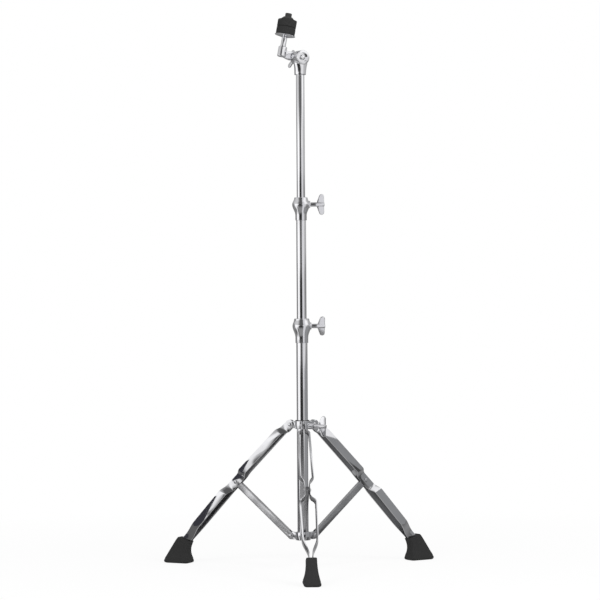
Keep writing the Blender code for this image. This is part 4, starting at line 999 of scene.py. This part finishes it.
def mark_inner_faces(obj):
    """Mark the faces that look towards the leg's other strip, for the painted shade and the rougher plating.
    """
    marks = obj.data.attributes.new(INNER_FACE, "FLOAT", "FACE")
    for face in obj.data.polygons:
        marks.data[face.index].value = 1.0 if face.normal.y < INNER_NORMAL else 0.0


def make_brace():
    """A folded channel, open below, with ears that run on past its web at the lower end."""
    half = BRACE_DEPTH / 2
    turn = Matrix.Rotation(BRACE_ANGLE, 4, "Y")
    brace = plate("brace", stadium((0, 0), (0, BRACE_LENGTH), half), BRACE_WIDTH)
    round_edges(brace, BRACE_ROUNDING, angle=BLUNT_ANGLE)
    slot = BRACE_WIDTH / 2 - BRACE_WALL
    end = BRACE_LENGTH + 2 * half
    cut(brace, block("channel", (-half + BRACE_WALL, -slot, -2 * half), (2 * half, slot, end)))
    cut(brace, block("ears", (-2 * half, -slot, -2 * half), (2 * half, slot, BRACE_WEB_START)))
    apply_place(brace, turn)
    return brace


# Rivets

def rivet_half(half_grip, spacer_half=0.0):
    """Domed head over a shank, down to the rivet's middle."""
    dome = [(RIVET_HEAD * math.cos(math.radians(angle)),
             half_grip + RIVET_DOME * math.sin(math.radians(angle))) for angle in (90, 75, 60, 45, 30, 15, 0)]
    dome[0] = (0.0, dome[0][1])
    dome.append((RIVET_RADIUS, half_grip))
    if spacer_half:
        dome += [(RIVET_RADIUS, spacer_half), (SPACER_RADIUS, spacer_half)]
    return dome


def make_rivet(spacing, spacer=False):
    grip = spacing / 2 + STRIP_THICKNESS / 2 + SEAT_GAP / 2
    half = rivet_half(grip, spacing / 2 - STRIP_THICKNESS / 2 - SEAT_GAP if spacer else 0.0)
    rivet = turned("rivet", half + [(radius, -height) for radius, height in reversed(half)], steps=32)
    apply_place(rivet, Matrix.Rotation(math.radians(90), 4, "X"))
    return rivet


def make_stub():
    outer = PIVOT_SPACING / 2 + STRIP_THICKNESS / 2
    half = rivet_half(outer + SEAT_GAP / 2)
    inner = outer - STRIP_THICKNESS
    stub = turned("stub", half + [(RIVET_RADIUS, inner), (0, inner)], steps=32)
    apply_place(stub, Matrix.Rotation(math.radians(-90), 4, "X"))
    return stub


class StandRivets(bpy.types.Operator):
    """Turn the rivets of the linkage and copy them to each leg."""
    bl_idname = "stand.rivets"
    bl_label = "Rivets"

    def execute(self, context):
        knee = Vector((KNEE_RADIUS, 0, KNEE_HEIGHT))
        lower_angle = LEG_ANGLE - LEG_BEND
        foot = knee + (LOWER_LEG - FOOT_FLAT / 2) * Vector((math.sin(lower_angle), 0, -math.cos(lower_angle)))
        lower = Vector((PIVOT_RADIUS, 0, LOWER_PIVOT))
        rows = (("lower_rivet", make_rivet(BRACE_WIDTH - STRIP_THICKNESS), lower),
                ("knee_rivet", make_rivet(KNEE_SPACING), knee),
                ("foot_rivet", make_rivet(PIVOT_SPACING, True), foot))
        stub = make_stub()
        end = Matrix.Translation((PIVOT_RADIUS, 0, UPPER_PIVOT))
        for side in LEG_AZIMUTHS:
            place = leg_place(side)
            for label, rivet, point in rows:
                hand_over(copy_of(rivet, place @ Matrix.Translation(point)), f"{side}_{label}", angle=30)
            for label, mirror in (("right", None), ("left", Vector((0, 1, 0)))):
                hand_over(copy_of(stub, place @ end, mirror), f"{side}_top_{label}_rivet", angle=30)
        for piece in [rivet for label, rivet, point in rows] + [stub]:
            bpy.data.objects.remove(piece, do_unlink=True)
        return {"FINISHED"}


# Rubber feet

def rounded_rectangle(inner, outer, width, corner, height):
    """A level outline with round corners; the height is a function of x."""
    points = []
    far, near, side = outer - corner, inner + corner, width / 2 - corner
    for centre, first in (((far, side), 0), ((near, side), 90), ((near, -side), 180), ((far, -side), 270)):
        points += arc(centre, corner, first, first + 90, 6)
    return [Vector((x, y, height(x))) for x, y in points]


def foot_rings():
    """Sole, lip and waisted boot up to its sloping mouth; x is measured from the leg's end."""
    rings = []
    inset = FOOT_SOLE_ROUNDING
    for share in (0.0, 0.3, 0.6, 1.0):
        pull = inset * (1 - math.sin(math.acos(1 - share)))
        rings.append(rounded_rectangle(-FOOT_SOLE_BACK + pull, FOOT_SOLE_FRONT - pull,
                                       FOOT_SOLE_WIDTH - 2 * pull, FOOT_CORNER - pull / 2,
                                       lambda x, z=inset * share: z))
    rings.append(rounded_rectangle(-FOOT_SOLE_BACK, FOOT_SOLE_FRONT, FOOT_SOLE_WIDTH, FOOT_CORNER,
                                   lambda x: FOOT_LIP - FOOT_LIP_DROP))
    rings.append(rounded_rectangle(-FOOT_SOLE_BACK + FOOT_LIP_STEP, FOOT_SOLE_FRONT - FOOT_LIP_STEP,
                                   FOOT_SOLE_WIDTH - 2 * FOOT_LIP_STEP, FOOT_CORNER, lambda x: FOOT_LIP))
    steps = 14
    for step in range(1, steps + 1):
        share = step / steps
        waist = FOOT_WAIST * math.sin(math.pi * share)
        inner = -FOOT_SOLE_BACK + (FOOT_SOLE_BACK - FOOT_TOP_BACK) * share + waist
        outer = FOOT_TOP_FRONT + (FOOT_SOLE_FRONT - FOOT_TOP_FRONT) * (1 - share) ** FOOT_OUTER_CURVE
        width = FOOT_TOP_WIDTH + (FOOT_SOLE_WIDTH - FOOT_TOP_WIDTH) * (1 - share) ** FOOT_SIDE_CURVE
        low = FOOT_LIP + (FOOT_INNER_HEIGHT - FOOT_LIP) * share
        high = FOOT_LIP + (FOOT_HEIGHT - FOOT_LIP) * share
        slope = (high - low) / (outer - inner)
        rings.append(rounded_rectangle(inner, outer, width, FOOT_CORNER * (1 - share / 3),
                                       lambda x, a=inner, z=low, rise=slope: z + rise * (x - a)))
    return rings


def make_foot():
    """A boot with a sloping socket for the lower ends of the strips."""
    foot = loft_sections("foot", foot_rings())
    round_edges(foot, SOFT_ROUNDING, angle=BLUNT_ANGLE)
    lower_angle = LEG_ANGLE - LEG_BEND
    depth = STRIP_FLAT_WIDTH / 2 + SEAT_GAP
    width = PIVOT_SPACING / 2 + STRIP_THICKNESS / 2 + SEAT_GAP
    end_height = KNEE_HEIGHT - LOWER_LEG * math.cos(lower_angle)
    socket = block("socket", (-depth, -width, -SEAT_GAP), (depth, width, 2 * FOOT_FLAT))
    apply_place(socket, Matrix.Translation((0, 0, end_height)) @ Matrix.Rotation(-lower_angle, 4, "Y"))
    cut(foot, socket)
    return foot


class StandFeet(bpy.types.Operator):
    """Mould one rubber foot and copy it to each leg."""
    bl_idname = "stand.feet"
    bl_label = "Feet"

    def execute(self, context):
        foot = make_foot()
        end = KNEE_RADIUS + LOWER_LEG * math.sin(LEG_ANGLE - LEG_BEND)
        apply_place(foot, Matrix.Translation((end, 0, 0)))
        for side in LEG_AZIMUTHS:
            hand_over(copy_of(foot, leg_place(side)), side + "_foot")
        bpy.data.objects.remove(foot, do_unlink=True)
        return {"FINISHED"}


# Tilter

def hinge_place():
    return MAST_PLACE @ Matrix.Translation((0, 0, HINGE_HEIGHT)) @ Matrix.Rotation(TILTER_AZIMUTH, 4, "Z")


def tilt_place():
    return hinge_place() @ Matrix.Rotation(-TILT, 4, "Y")


def rod_place():
    return tilt_place() @ Matrix.Translation((ARM_REACH, -ARM_CENTRE, 0))


def oval(half_width, half_depth, height, shift=0.0, sides=48):
    return [Vector((half_width * math.cos(2 * math.pi * index / sides),
                    shift + half_depth * math.sin(2 * math.pi * index / sides), height))
            for index in range(sides)]


def toothed_disc(name, sections, thickness):
    """A turned disc whose top face carries a crown of radial teeth round a pocket."""
    sides = 4 * TEETH
    rings = [oval(radius, radius, height, 0.0, sides) for radius, height in sections]
    for radius in (CROWN_RADIUS, POCKET_RADIUS - SEAT_GAP):
        ring = oval(radius, radius, thickness, 0.0, sides)
        for index, point in enumerate(ring):
            if index % 4 in (1, 2):
                point.z -= TOOTH_DEPTH * radius / CROWN_RADIUS
        rings.append(ring)
    pocket = POCKET_RADIUS - SEAT_GAP
    rings.append(oval(pocket, pocket, thickness - 2 * TOOTH_DEPTH, 0.0, sides))
    return loft_sections(name, rings)


def make_tilter_base():
    """A flaring neck on the tube under a barrel with a recess for the bolt's head."""
    upper_tube = radius_of("upper_tube")
    mouth = upper_tube + NECK_WALL
    near, far = HEAD_REACH - NECK_INSET, TEETH_REACH - SEAT_GAP
    depth, shift = (near + far) / 2, (near - far) / 2
    rings = []
    steps = 8
    for step in range(steps + 1):
        share = step / steps
        height = -TILTER_RISE + (TILTER_RISE - NECK_DROP) * share
        rings.append(oval(mouth + NECK_FLARE * share ** 2, ease(mouth, depth, share), height,
                          ease(0, shift, share)))
    rings.append(oval(CROWN_RADIUS, depth - NECK_INSET / 2, -NECK_DROP / 2, shift))
    base = loft_sections("tilter_base", rings)
    round_edges(base, CAST_ROUNDING, angle=BLUNT_ANGLE)
    width = HEAD_REACH + TEETH_REACH
    shoulder = width - CROWN_HEIGHT
    rim = BARREL_RIM
    sections = ((BARREL_RADIUS - rim, 0), (BARREL_RADIUS - rim / 3, rim / 3), (BARREL_RADIUS, rim),
                (BARREL_RADIUS - rim / 3, shoulder - BARREL_EASE), (BARREL_RADIUS - rim * 0.7, shoulder),
                (CROWN_RADIUS, shoulder))
    barrel = toothed_disc("barrel", sections, width)
    facing = Matrix.Rotation(math.radians(90), 4, "X")
    apply_place(barrel, Matrix.Translation((0, HEAD_REACH, 0)) @ facing)
    join(base, barrel)
    pocket_floor, head = TEETH_REACH - POCKET_DEPTH, -HEAD_REACH
    for name, radius, low, high in (("pocket", POCKET_RADIUS, pocket_floor, TEETH_REACH + SEAT_GAP),
                                    ("recess", RECESS_RADIUS, head - SEAT_GAP, head + RECESS_DEPTH),
                                    ("hole", SCREW_RADIUS + SEAT_GAP, head + RECESS_DEPTH / 2,
                                     pocket_floor + POCKET_DEPTH / 2)):
        tool = rod(name, radius, low, high, 72)
        apply_place(tool, facing)
        cut(base, tool)
    cut(base, rod("socket", upper_tube + SEAT_GAP, -TILTER_RISE - SEAT_GAP, NECK_SOCKET - TILTER_RISE, 72))
    return base


def arm_outline():
    """The plate's edge, from under the disc, round the boss and back over a hollow fillet."""
    hollow = (ARM_REACH - ARM_BOSS_RADIUS + ARM_FILLET_INSET - ARM_FILLET, ARM_SHOULDER)
    end = [(ARM_REACH, ARM_UNDER_BOSS), (ARM_REACH, ARM_SHOULDER)]
    return [*ARM_UNDERSIDE, *end, *arc(hollow, ARM_FILLET, 0, -90, 8), *ARM_TOPSIDE]


def make_arm():
    rim = BARREL_RIM
    sections = ((CROWN_RADIUS - rim, 0), (CROWN_RADIUS - rim / 3, rim / 3), (CROWN_RADIUS, rim))
    arm = toothed_disc("arm", sections, ARM_THICKNESS)
    apply_place(arm, Matrix.Translation((0, -ARM_BACK, 0)) @ Matrix.Rotation(math.radians(-90), 4, "X"))
    near, far = ARM_FACE + 1.5 * TOOTH_DEPTH, ARM_BACK - SEAT_GAP
    bar = plate("bar", arm_outline(), far - near)
    round_edges(bar, SOFT_ROUNDING, segments=4, angle=BLUNT_ANGLE)
    apply_place(bar, Matrix.Translation((0, -(near + far) / 2, 0)))
    join(arm, bar)
    centre = Matrix.Translation((ARM_REACH, -ARM_CENTRE, 0))
    boss = turned("boss", [(0, ARM_BOSS_TOP), (ARM_BOSS_RADIUS, ARM_BOSS_TOP),
                           (ARM_BOSS_RADIUS, -ARM_BOSS_DEPTH), (0, -ARM_BOSS_DEPTH)], steps=64)
    round_edges(boss, ARM_BOSS_ROUNDING, segments=5, angle=BLUNT_ANGLE)
    apply_place(boss, centre)
    join(arm, boss)
    socket = rod("socket", ROD_RADIUS + SEAT_GAP, ARM_SOCKET_FLOOR - ARM_BOSS_DEPTH,
                 ARM_BOSS_TOP + SEAT_GAP, 64)
    apply_place(socket, centre)
    cut(arm, socket)
    hole = rod("hole", SCREW_RADIUS + SEAT_GAP, ARM_FACE, ARM_BACK + SEAT_GAP)
    apply_place(hole, Matrix.Rotation(math.radians(90), 4, "X"))
    cut(arm, hole)
    return arm


class StandTilter(bpy.types.Operator):
    """Model the toothed tilter, its arm, carriage bolt and wing nut."""
    bl_idname = "stand.tilter"
    bl_label = "Tilter"

    def execute(self, context):
        hand_over(make_tilter_base(), "tilter_base", hinge_place())
        hand_over(make_arm(), "tilter_arm", tilt_place())
        seat = HEAD_REACH - RECESS_DEPTH + SEAT_GAP
        end = -ARM_BACK - NUT_LENGTH
        head = [(BOLT_HEAD_RADIUS * math.cos(math.radians(angle)),
                 seat + BOLT_HEAD_RIM + BOLT_HEAD_RIM * math.sin(math.radians(angle)))
                for angle in (75, 60, 45, 30, 15, 0)]
        shank = [(BOLT_HEAD_RADIUS, seat), (SCREW_RADIUS, seat), (SCREW_RADIUS, end), (0, end)]
        bolt = turned("bolt", [(0, seat + BOLT_HEAD_HEIGHT)] + head + shank, steps=48)
        hand_over(bolt, "tilter_bolt", hinge_place() @ Matrix.Rotation(math.radians(-90), 4, "X"))
        start = ARM_BACK + SEAT_GAP
        stop = start + NUT_LENGTH
        nut = turned("nut", [(0, stop), (HUB_RADIUS, stop), (HUB_RADIUS + NUT_FLARE, start), (0, start)],
                     steps=48)
        round_edges(nut, TURNED_ROUNDING)
        join(nut, wing_plate(start, NUT_SPAN, NUT_LENGTH - WING_CROWN, NUT_LEAN))
        cut(nut, rod("bore", SCREW_RADIUS + SEAT_GAP / 2, start - SEAT_GAP, stop + SEAT_GAP))
        turn = Euler((math.radians(90), NUT_TURN, 0)).to_matrix().to_4x4()
        hand_over(nut, "tilter_wing_nut", hinge_place() @ turn)
        return {"FINISHED"}


# Cymbal seat

def felt_bottom(index):
    return ROD_SHOULDER + CUP_DEPTH + 2 * SEAT_GAP + index * (FELT_THICKNESS + SEAT_GAP)


def make_felt(index):
    """A thick pressed washer with soft rounded rims and an uneven, fibrous side."""
    low = felt_bottom(index)
    high = low + FELT_THICKNESS
    hole = ROD_THREAD + 3 * SEAT_GAP + FELT_CLEARANCE
    rim = FELT_RIM
    edge = FELT_RADIUS - FELT_NAP_ROOM
    profile = [(hole, high)] + [(hole + (edge - rim - hole) * step / 4, high) for step in range(1, 4)]
    profile += list(arc((edge - rim, high - rim), rim, 90, 0, 5))
    profile += [(edge, high - rim + (low - high + 2 * rim) * step / 10) for step in range(1, 10)]
    profile += list(arc((edge - rim, low + rim), rim, 0, -90, 5))
    profile += [(hole, low)]
    felt = turned("felt", profile, closed=True, steps=128)
    clumps = bpy.data.textures.new("felt_clumps", "CLOUDS")
    clumps.noise_scale = FELT_CLUMP
    clumps.noise_depth = 3
    apply_modifier(felt, "DISPLACE", texture=clumps, strength=FELT_NAP, mid_level=FELT_NAP_LEVEL,
                   texture_coords="LOCAL")
    return felt


def curl_rim(felt, side, rise):
    """Lift or lower the upper rim on one side, as felt curls with age."""
    make_active(felt)
    bpy.ops.object.mode_set(mode="EDIT")
    mesh = bmesh.from_edit_mesh(felt.data)
    high = felt_bottom(2) - SEAT_GAP
    for vertex in mesh.verts:
        near = (vertex.co.xy - side * FELT_RADIUS).length < CURL_GRIP
        vertex.select = near and vertex.co.z > high - CURL_BAND
    bmesh.update_edit_mesh(felt.data)
    bpy.ops.transform.translate(value=(0, 0, rise), use_proportional_edit=True,
                                proportional_edit_falloff="SMOOTH", proportional_size=CURL_REACH)
    bpy.ops.object.mode_set(mode="OBJECT")


class StandSeat(bpy.types.Operator):
    """Turn the rod, cup washer and nut, and press the felts of the cymbal seat."""
    bl_idname = "stand.seat"
    bl_label = "Cymbal Seat"

    def execute(self, context):
        low = ARM_SOCKET_FLOOR - ARM_BOSS_DEPTH + SEAT_GAP
        spindle = turned("spindle", [(0, ROD_END), (ROD_THREAD, ROD_END), (ROD_THREAD, ROD_SHOULDER),
                                     (ROD_RADIUS, ROD_SHOULDER), (ROD_RADIUS, low), (0, low)])
        round_edges(spindle, FINE_ROUNDING)
        hand_over(spindle, "cymbal_rod", rod_place())
        hole, start = ROD_THREAD + SEAT_GAP, ROD_SHOULDER + SEAT_GAP
        rim = start + CUP_DEPTH
        lip = CUP_SHEET / 3
        cup = turned("cup", [(hole, start + CUP_SHEET), (CUP_FLAT - lip, start + CUP_SHEET),
                             (CUP_RADIUS - CUP_SHEET, rim), (CUP_RADIUS, rim - lip), (CUP_FLAT, start),
                             (hole, start)], closed=True)
        round_edges(cup, FINE_ROUNDING, angle=15)
        hand_over(cup, "cup_washer", rod_place())
        for index, node in enumerate(("lower_felt", "upper_felt")):
            felt = make_felt(index)
            if node == "upper_felt":
                curl_rim(felt, Vector((-1, 0)), CURL_RISE)
                curl_rim(felt, Vector((1, 0)), -CURL_DROP)
            hand_over(felt, node, rod_place(), angle=60)
        start = felt_bottom(2)
        cone, tip = start + SEAT_NUT_CONE, start + SEAT_NUT_HEIGHT
        bore = ROD_THREAD + SEAT_GAP
        nut = turned("nut", [(0, tip), (SEAT_NUT_TIP, tip), (SEAT_NUT_TIP, cone), (SEAT_NUT_SHOULDER, cone),
                             (SEAT_NUT_BASE, start + SEAT_NUT_RIM), (SEAT_NUT_BASE, start), (bore, start),
                             (bore, ROD_END + SEAT_GAP), (0, ROD_END + SEAT_GAP)])
        round_edges(nut, TURNED_ROUNDING, angle=25)
        hand_over(nut, "cymbal_nut", rod_place())
        return {"FINISHED"}


class StandDressFrame(bpy.types.Operator):
    """Give every node its finish; the two that stay as they are lie inside others."""
    bl_idname = "stand.dress_frame"
    bl_label = "Dress Frame"

    def execute(self, context):
        for name, node in frame["nodes"].items():
            node.data.materials.clear()
            node.data.materials.append(finish_material(context.scene.stand_finish, SLOT_OF[name]))
        return {"FINISHED"}


# Studio

class StandStudio(bpy.types.Operator):
    """Set up the floor, world, reflection ring, cards, lamps and camera."""
    bl_idname = "stand.studio"
    bl_label = "Studio"

    def execute(self, context):
        setup = context.scene.stand_studio
        deselect_all()
        make_floor(setup)
        make_world(context.scene)
        make_reflection_ring(setup)
        make_cards()
        make_lamps(setup)
        make_camera(context.scene, setup)
        context.scene.view_settings.view_transform = "Standard"
        return {"FINISHED"}


def largest(nodes, links, *sources):
    """The largest of some values."""
    result = sources[0]
    for source in sources[1:]:
        either = nodes.new("ShaderNodeMath")
        either.operation = "MAXIMUM"
        links.new(result, either.inputs[0])
        links.new(source, either.inputs[1])
        result = either.outputs[0]
    return result


def mix_shaders(nodes, links, share, first, second):
    mix = nodes.new("ShaderNodeMixShader")
    links.new(share, mix.inputs["Fac"])
    links.new(first, mix.inputs[1])
    links.new(second, mix.inputs[2])
    return mix.outputs[0]


def make_world(scene):
    world = bpy.data.worlds.new("studio_world")
    world.use_nodes = True
    scene.world = world
    nodes, links = world.node_tree.nodes, world.node_tree.links
    plain = nodes["Background"]
    plain.inputs["Color"].default_value = (1.0, 1.0, 1.0, 1.0)
    plain.inputs["Strength"].default_value = WORLD_LIGHT
    white = nodes.new("ShaderNodeBackground")
    white.inputs["Strength"].default_value = 1.0
    white.inputs["Color"].default_value = (1.0, 1.0, 1.0, 1.0)
    path = nodes.new("ShaderNodeLightPath")
    seen = largest(nodes, links, path.outputs["Is Camera Ray"], path.outputs["Is Glossy Ray"],
                   path.outputs["Is Transmission Ray"])
    links.new(mix_shaders(nodes, links, seen, plain.outputs[0], white.outputs[0]),
              nodes["World Output"].inputs["Surface"])


def grey_ramp(nodes, links, source, stops):
    ramp = nodes.new("ShaderNodeValToRGB")
    elements = ramp.color_ramp.elements
    elements[0].position, elements[0].color = stops[0][0], (*[stops[0][1]] * 3, 1.0)
    elements[1].position, elements[1].color = stops[-1][0], (*[stops[-1][1]] * 3, 1.0)
    for position, tone in stops[1:-1]:
        stop = elements.new(position)
        stop.color = (tone, tone, tone, 1.0)
    links.new(source, ramp.inputs["Fac"])
    return ramp.outputs["Color"]


def tone_ramp(nodes, links, turn, rows):
    """Grey tones round the stand; each row holds degrees and a tone."""
    return grey_ramp(nodes, links, turn, [(degrees / 360, tone) for degrees, tone in rows])


def blend_tones(nodes, links, share, first, second):
    mix = nodes.new("ShaderNodeMix")
    mix.data_type = "RGBA"
    links.new(share, mix.inputs["Factor"])
    links.new(first, mix.inputs["A"])
    links.new(second, mix.inputs["B"])
    return mix.outputs["Result"]


def turn_about_mast(nodes, links):
    """A stage piece's coordinates, and the share of a turn: 0.5 at the camera, growing to its right."""
    coordinates = nodes.new("ShaderNodeTexCoord")
    gradient = nodes.new("ShaderNodeTexGradient")
    gradient.gradient_type = "RADIAL"
    links.new(coordinates.outputs["Object"], gradient.inputs["Vector"])
    return coordinates.outputs["Object"], gradient.outputs["Fac"]


# Tones that the chrome sees, by degrees round the stand: 90 is the camera's left, 180 the camera
FLOOR_NEAR = ((0, 0.42), (50, 0.40), (60, 0.15), (98, 0.11), (103, 1.00), (112, 1.00), (117, 0.10),
              (126, 0.10), (134, 0.34), (150, 0.30), (205, 0.30), (215, 0.28), (250, 0.18), (262, 0.07),
              (280, 0.09), (292, 0.20), (330, 0.42), (360, 0.42))
FLOOR_FAR = ((0, 0.30), (60, 0.26), (88, 0.35), (96, 1.10), (114, 1.10), (121, 0.70), (134, 0.55),
             (142, 0.20), (148, 0.09), (203, 0.10), (212, 0.55), (250, 0.55), (257, 0.24), (295, 0.20),
             (330, 0.30), (360, 0.30))
RING_LOW = ((0, 0.22), (62, 0.24), (84, 0.34), (90, 1.20), (131, 1.15), (139, 0.62), (144, 0.035),
            (190, 0.020), (197, 0.20), (206, 0.65), (248, 0.72), (256, 0.32), (300, 0.26), (360, 0.22))
RING_MIDDLE = ((0, 0.26), (60, 0.28), (82, 0.40), (88, 1.25), (140, 1.20), (150, 0.60), (156, 0.11),
               (192, 0.10), (198, 0.95), (238, 0.95), (250, 0.62), (300, 0.50), (345, 0.36), (360, 0.26))
RING_HIGH = ((0, 0.40), (40, 0.45), (85, 0.70), (120, 0.70), (140, 0.35), (152, 0.13), (190, 0.10),
             (206, 0.26), (220, 0.60), (232, 1.15), (270, 1.10), (285, 0.55), (330, 0.45), (360, 0.40))


def make_floor(setup):
    """White to the eye but for a soft shadow; what the chrome sees of it is darker."""
    bpy.ops.mesh.primitive_plane_add(size=FLOOR_SIZE, location=(0, 0, 0))
    floor = bpy.context.object
    floor.name = "studio_floor"
    floor.rotation_euler.z = setup.camera_azimuth
    material, nodes, links = new_material("white_floor")
    shader = nodes["Principled BSDF"]
    shader.inputs["Base Color"].default_value = (FLOOR_WHITE, FLOOR_WHITE, FLOOR_WHITE, 1.0)
    shader.inputs["Roughness"].default_value = FLOOR_ROUGHNESS
    place, turn = turn_about_mast(nodes, links)
    length = nodes.new("ShaderNodeVectorMath")
    length.operation = "LENGTH"
    links.new(place, length.inputs[0])
    far = map_range(nodes, links, length.outputs["Value"], 0.0, 1.0, *FLOOR_FADE)
    tones = blend_tones(nodes, links, far, tone_ramp(nodes, links, turn, FLOOR_NEAR),
                        tone_ramp(nodes, links, turn, FLOOR_FAR))
    mirrored = nodes.new("ShaderNodeEmission")
    links.new(tones, mirrored.inputs["Color"])
    white = nodes.new("ShaderNodeEmission")
    white.inputs["Color"].default_value = (1.0, 1.0, 1.0, 1.0)
    shadow = map_range(nodes, links, length.outputs["Value"], SHADOW_SHARE, 0.0, *SHADOW_FADE)
    shadowed = mix_shaders(nodes, links, shadow, white.outputs[0], shader.outputs[0])
    path = nodes.new("ShaderNodeLightPath")
    eye = largest(nodes, links, path.outputs["Is Camera Ray"], path.outputs["Is Transmission Ray"])
    lit = mix_shaders(nodes, links, path.outputs["Is Glossy Ray"], shader.outputs[0], mirrored.outputs[0])
    links.new(mix_shaders(nodes, links, eye, lit, shadowed),
              nodes["Material Output"].inputs["Surface"])
    floor.data.materials.append(material)


def only_mirrored(obj):
    """Let nothing but reflections see a stage piece."""
    for flag in ("visible_camera", "visible_diffuse", "visible_shadow", "visible_transmission"):
        setattr(obj, flag, False)


def make_reflection_ring(setup):
    """A wall and ceiling: dark by the camera, and bright on both sides like two soft boxes."""
    deselect_all()
    centre = (RING_BOTTOM + RING_TOP) / 2
    bpy.ops.mesh.primitive_cylinder_add(vertices=128, radius=RING_RADIUS, depth=RING_TOP - RING_BOTTOM,
                                        location=(0, 0, 0))
    ring = bpy.context.object
    ring.name = "reflection_ring"
    ring.location.z = centre
    ring.rotation_euler.z = setup.camera_azimuth
    material, nodes, links = new_material("ring_cards")
    nodes.remove(nodes["Principled BSDF"])
    place, turn = turn_about_mast(nodes, links)
    height = nodes.new("ShaderNodeSeparateXYZ")
    links.new(place, height.inputs[0])
    lower, upper = (map_range(nodes, links, height.outputs["Z"], 0.0, 1.0, start - centre, end - centre)
                    for start, end in (RING_LOW_FADE, RING_HIGH_FADE))
    tones = blend_tones(nodes, links, lower, tone_ramp(nodes, links, turn, RING_LOW),
                        tone_ramp(nodes, links, turn, RING_MIDDLE))
    tones = blend_tones(nodes, links, upper, tones, tone_ramp(nodes, links, turn, RING_HIGH))
    glow = nodes.new("ShaderNodeEmission")
    links.new(tones, glow.inputs["Color"])
    links.new(glow.outputs[0], nodes["Material Output"].inputs["Surface"])
    ring.data.materials.append(material)
    only_mirrored(ring)


def make_card(name, width, height, facing, place, colour):
    """An upright card that only the chrome sees."""
    deselect_all()
    bpy.ops.mesh.primitive_plane_add(size=1.0, location=(0, 0, 0))
    card = bpy.context.object
    card.name = name
    card.scale = (width, height, 1.0)
    card.rotation_euler = (math.radians(90), 0, math.radians(facing + 90))
    card.location = place
    material, nodes, links = new_material(name + "_tone")
    nodes.remove(nodes["Principled BSDF"])
    glow = nodes.new("ShaderNodeEmission")
    glow.inputs["Color"].default_value = (*colour, 1.0)
    links.new(glow.outputs[0], nodes["Material Output"].inputs["Surface"])
    card.data.materials.append(material)
    only_mirrored(card)


def make_cards():
    """Grey and dark cards beside the legs, and pale ones in front of the arm and the wings."""
    front = MAST.y - CARD_REACH
    wings = (middle("base_clamp_wing_bolt").z + middle("middle_clamp_wing_bolt").z) / 2
    make_card("grey_card", width=0.68, height=0.52, facing=-27, place=(0.55, -0.04, 0.26),
              colour=(0.31, 0.315, 0.32))
    make_card("dark_card", width=0.15, height=0.19, facing=180, place=(-0.38, 0.125, 0.135),
              colour=(0.05, 0.05, 0.06))
    make_card("arm_card", width=0.09, height=0.08, facing=-90,
              place=(0.005, front, HINGE_HEIGHT + ARM_CARD_RISE), colour=(1.0, 1.0, 1.0))
    make_card("wing_card", width=0.07, height=0.55, facing=-90, place=(0.065, front, wings),
              colour=(0.78, 0.78, 0.80))


def make_lamps(setup):
    for name, place in LAMPS.items():
        lamp = bpy.data.lights.new(name, "AREA")
        lamp.energy = setup.key_power
        lamp.size = LAMP_SIZE
        holder = bpy.data.objects.new(name, lamp)
        holder.location = place
        aim = Vector(LAMP_AIM) - holder.location
        holder.rotation_euler = aim.to_track_quat("-Z", "Y").to_euler()
        holder.visible_glossy = False
        bpy.context.scene.collection.objects.link(holder)


def make_camera(scene, setup):
    lens = bpy.data.cameras.new("photo_camera")
    lens.lens = setup.camera_lens
    lens.sensor_width = 36.0
    camera = bpy.data.objects.new("photo_camera", lens)
    away = Vector((math.cos(setup.camera_azimuth), math.sin(setup.camera_azimuth), 0))
    left = Vector((away.y, -away.x, 0))
    place = MAST + away * setup.camera_distance
    place.z = setup.camera_height
    aim = MAST + left * setup.aim_offset
    aim.z = setup.aim_height
    turn = (aim - place).to_track_quat("-Z", "Y").to_matrix().to_4x4()
    camera.matrix_world = Matrix.Translation(place) @ turn @ Matrix.Rotation(setup.camera_roll, 4, "Z")
    scene.collection.objects.link(camera)
    scene.camera = camera


OPERATORS = (StandDressFrame, StandTubes, StandClamps, StandWingScrews, StandCollars, StandLegs, StandRivets,
             StandFeet, StandTilter, StandSeat, StandStudio)


class StandPanel(bpy.types.Panel):
    """Lists the stand's operators and settings."""
    bl_idname = "VIEW3D_PT_cymbal_stand"
    bl_label = "Cymbal Stand"
    bl_space_type = "VIEW_3D"
    bl_region_type = "UI"
    bl_category = "Cymbal Stand"

    def draw(self, context):
        for operator in OPERATORS:
            self.layout.operator(operator.bl_idname)
        for group in (context.scene.stand_finish, context.scene.stand_studio):
            for name in group.__annotations__:
                self.layout.prop(group, name)


CLASSES = (StandFinish, StudioSetup, *OPERATORS, StandPanel)


def register():
    for entry in CLASSES:
        bpy.utils.register_class(entry)
    bpy.types.Scene.stand_finish = bpy.props.PointerProperty(type=StandFinish)
    bpy.types.Scene.stand_studio = bpy.props.PointerProperty(type=StudioSetup)


def unregister():
    del bpy.types.Scene.stand_studio
    del bpy.types.Scene.stand_finish
    for entry in reversed(CLASSES):
        bpy.utils.unregister_class(entry)


def main():
    register()
    bpy.ops.stand.dress_frame()
    bpy.ops.stand.tubes()
    bpy.ops.stand.clamps()
    bpy.ops.stand.wing_screws()
    bpy.ops.stand.collars()
    bpy.ops.stand.legs()
    bpy.ops.stand.rivets()
    bpy.ops.stand.feet()
    bpy.ops.stand.tilter()
    bpy.ops.stand.seat()
    bpy.ops.stand.studio()


if __name__ == "__main__":
    main()
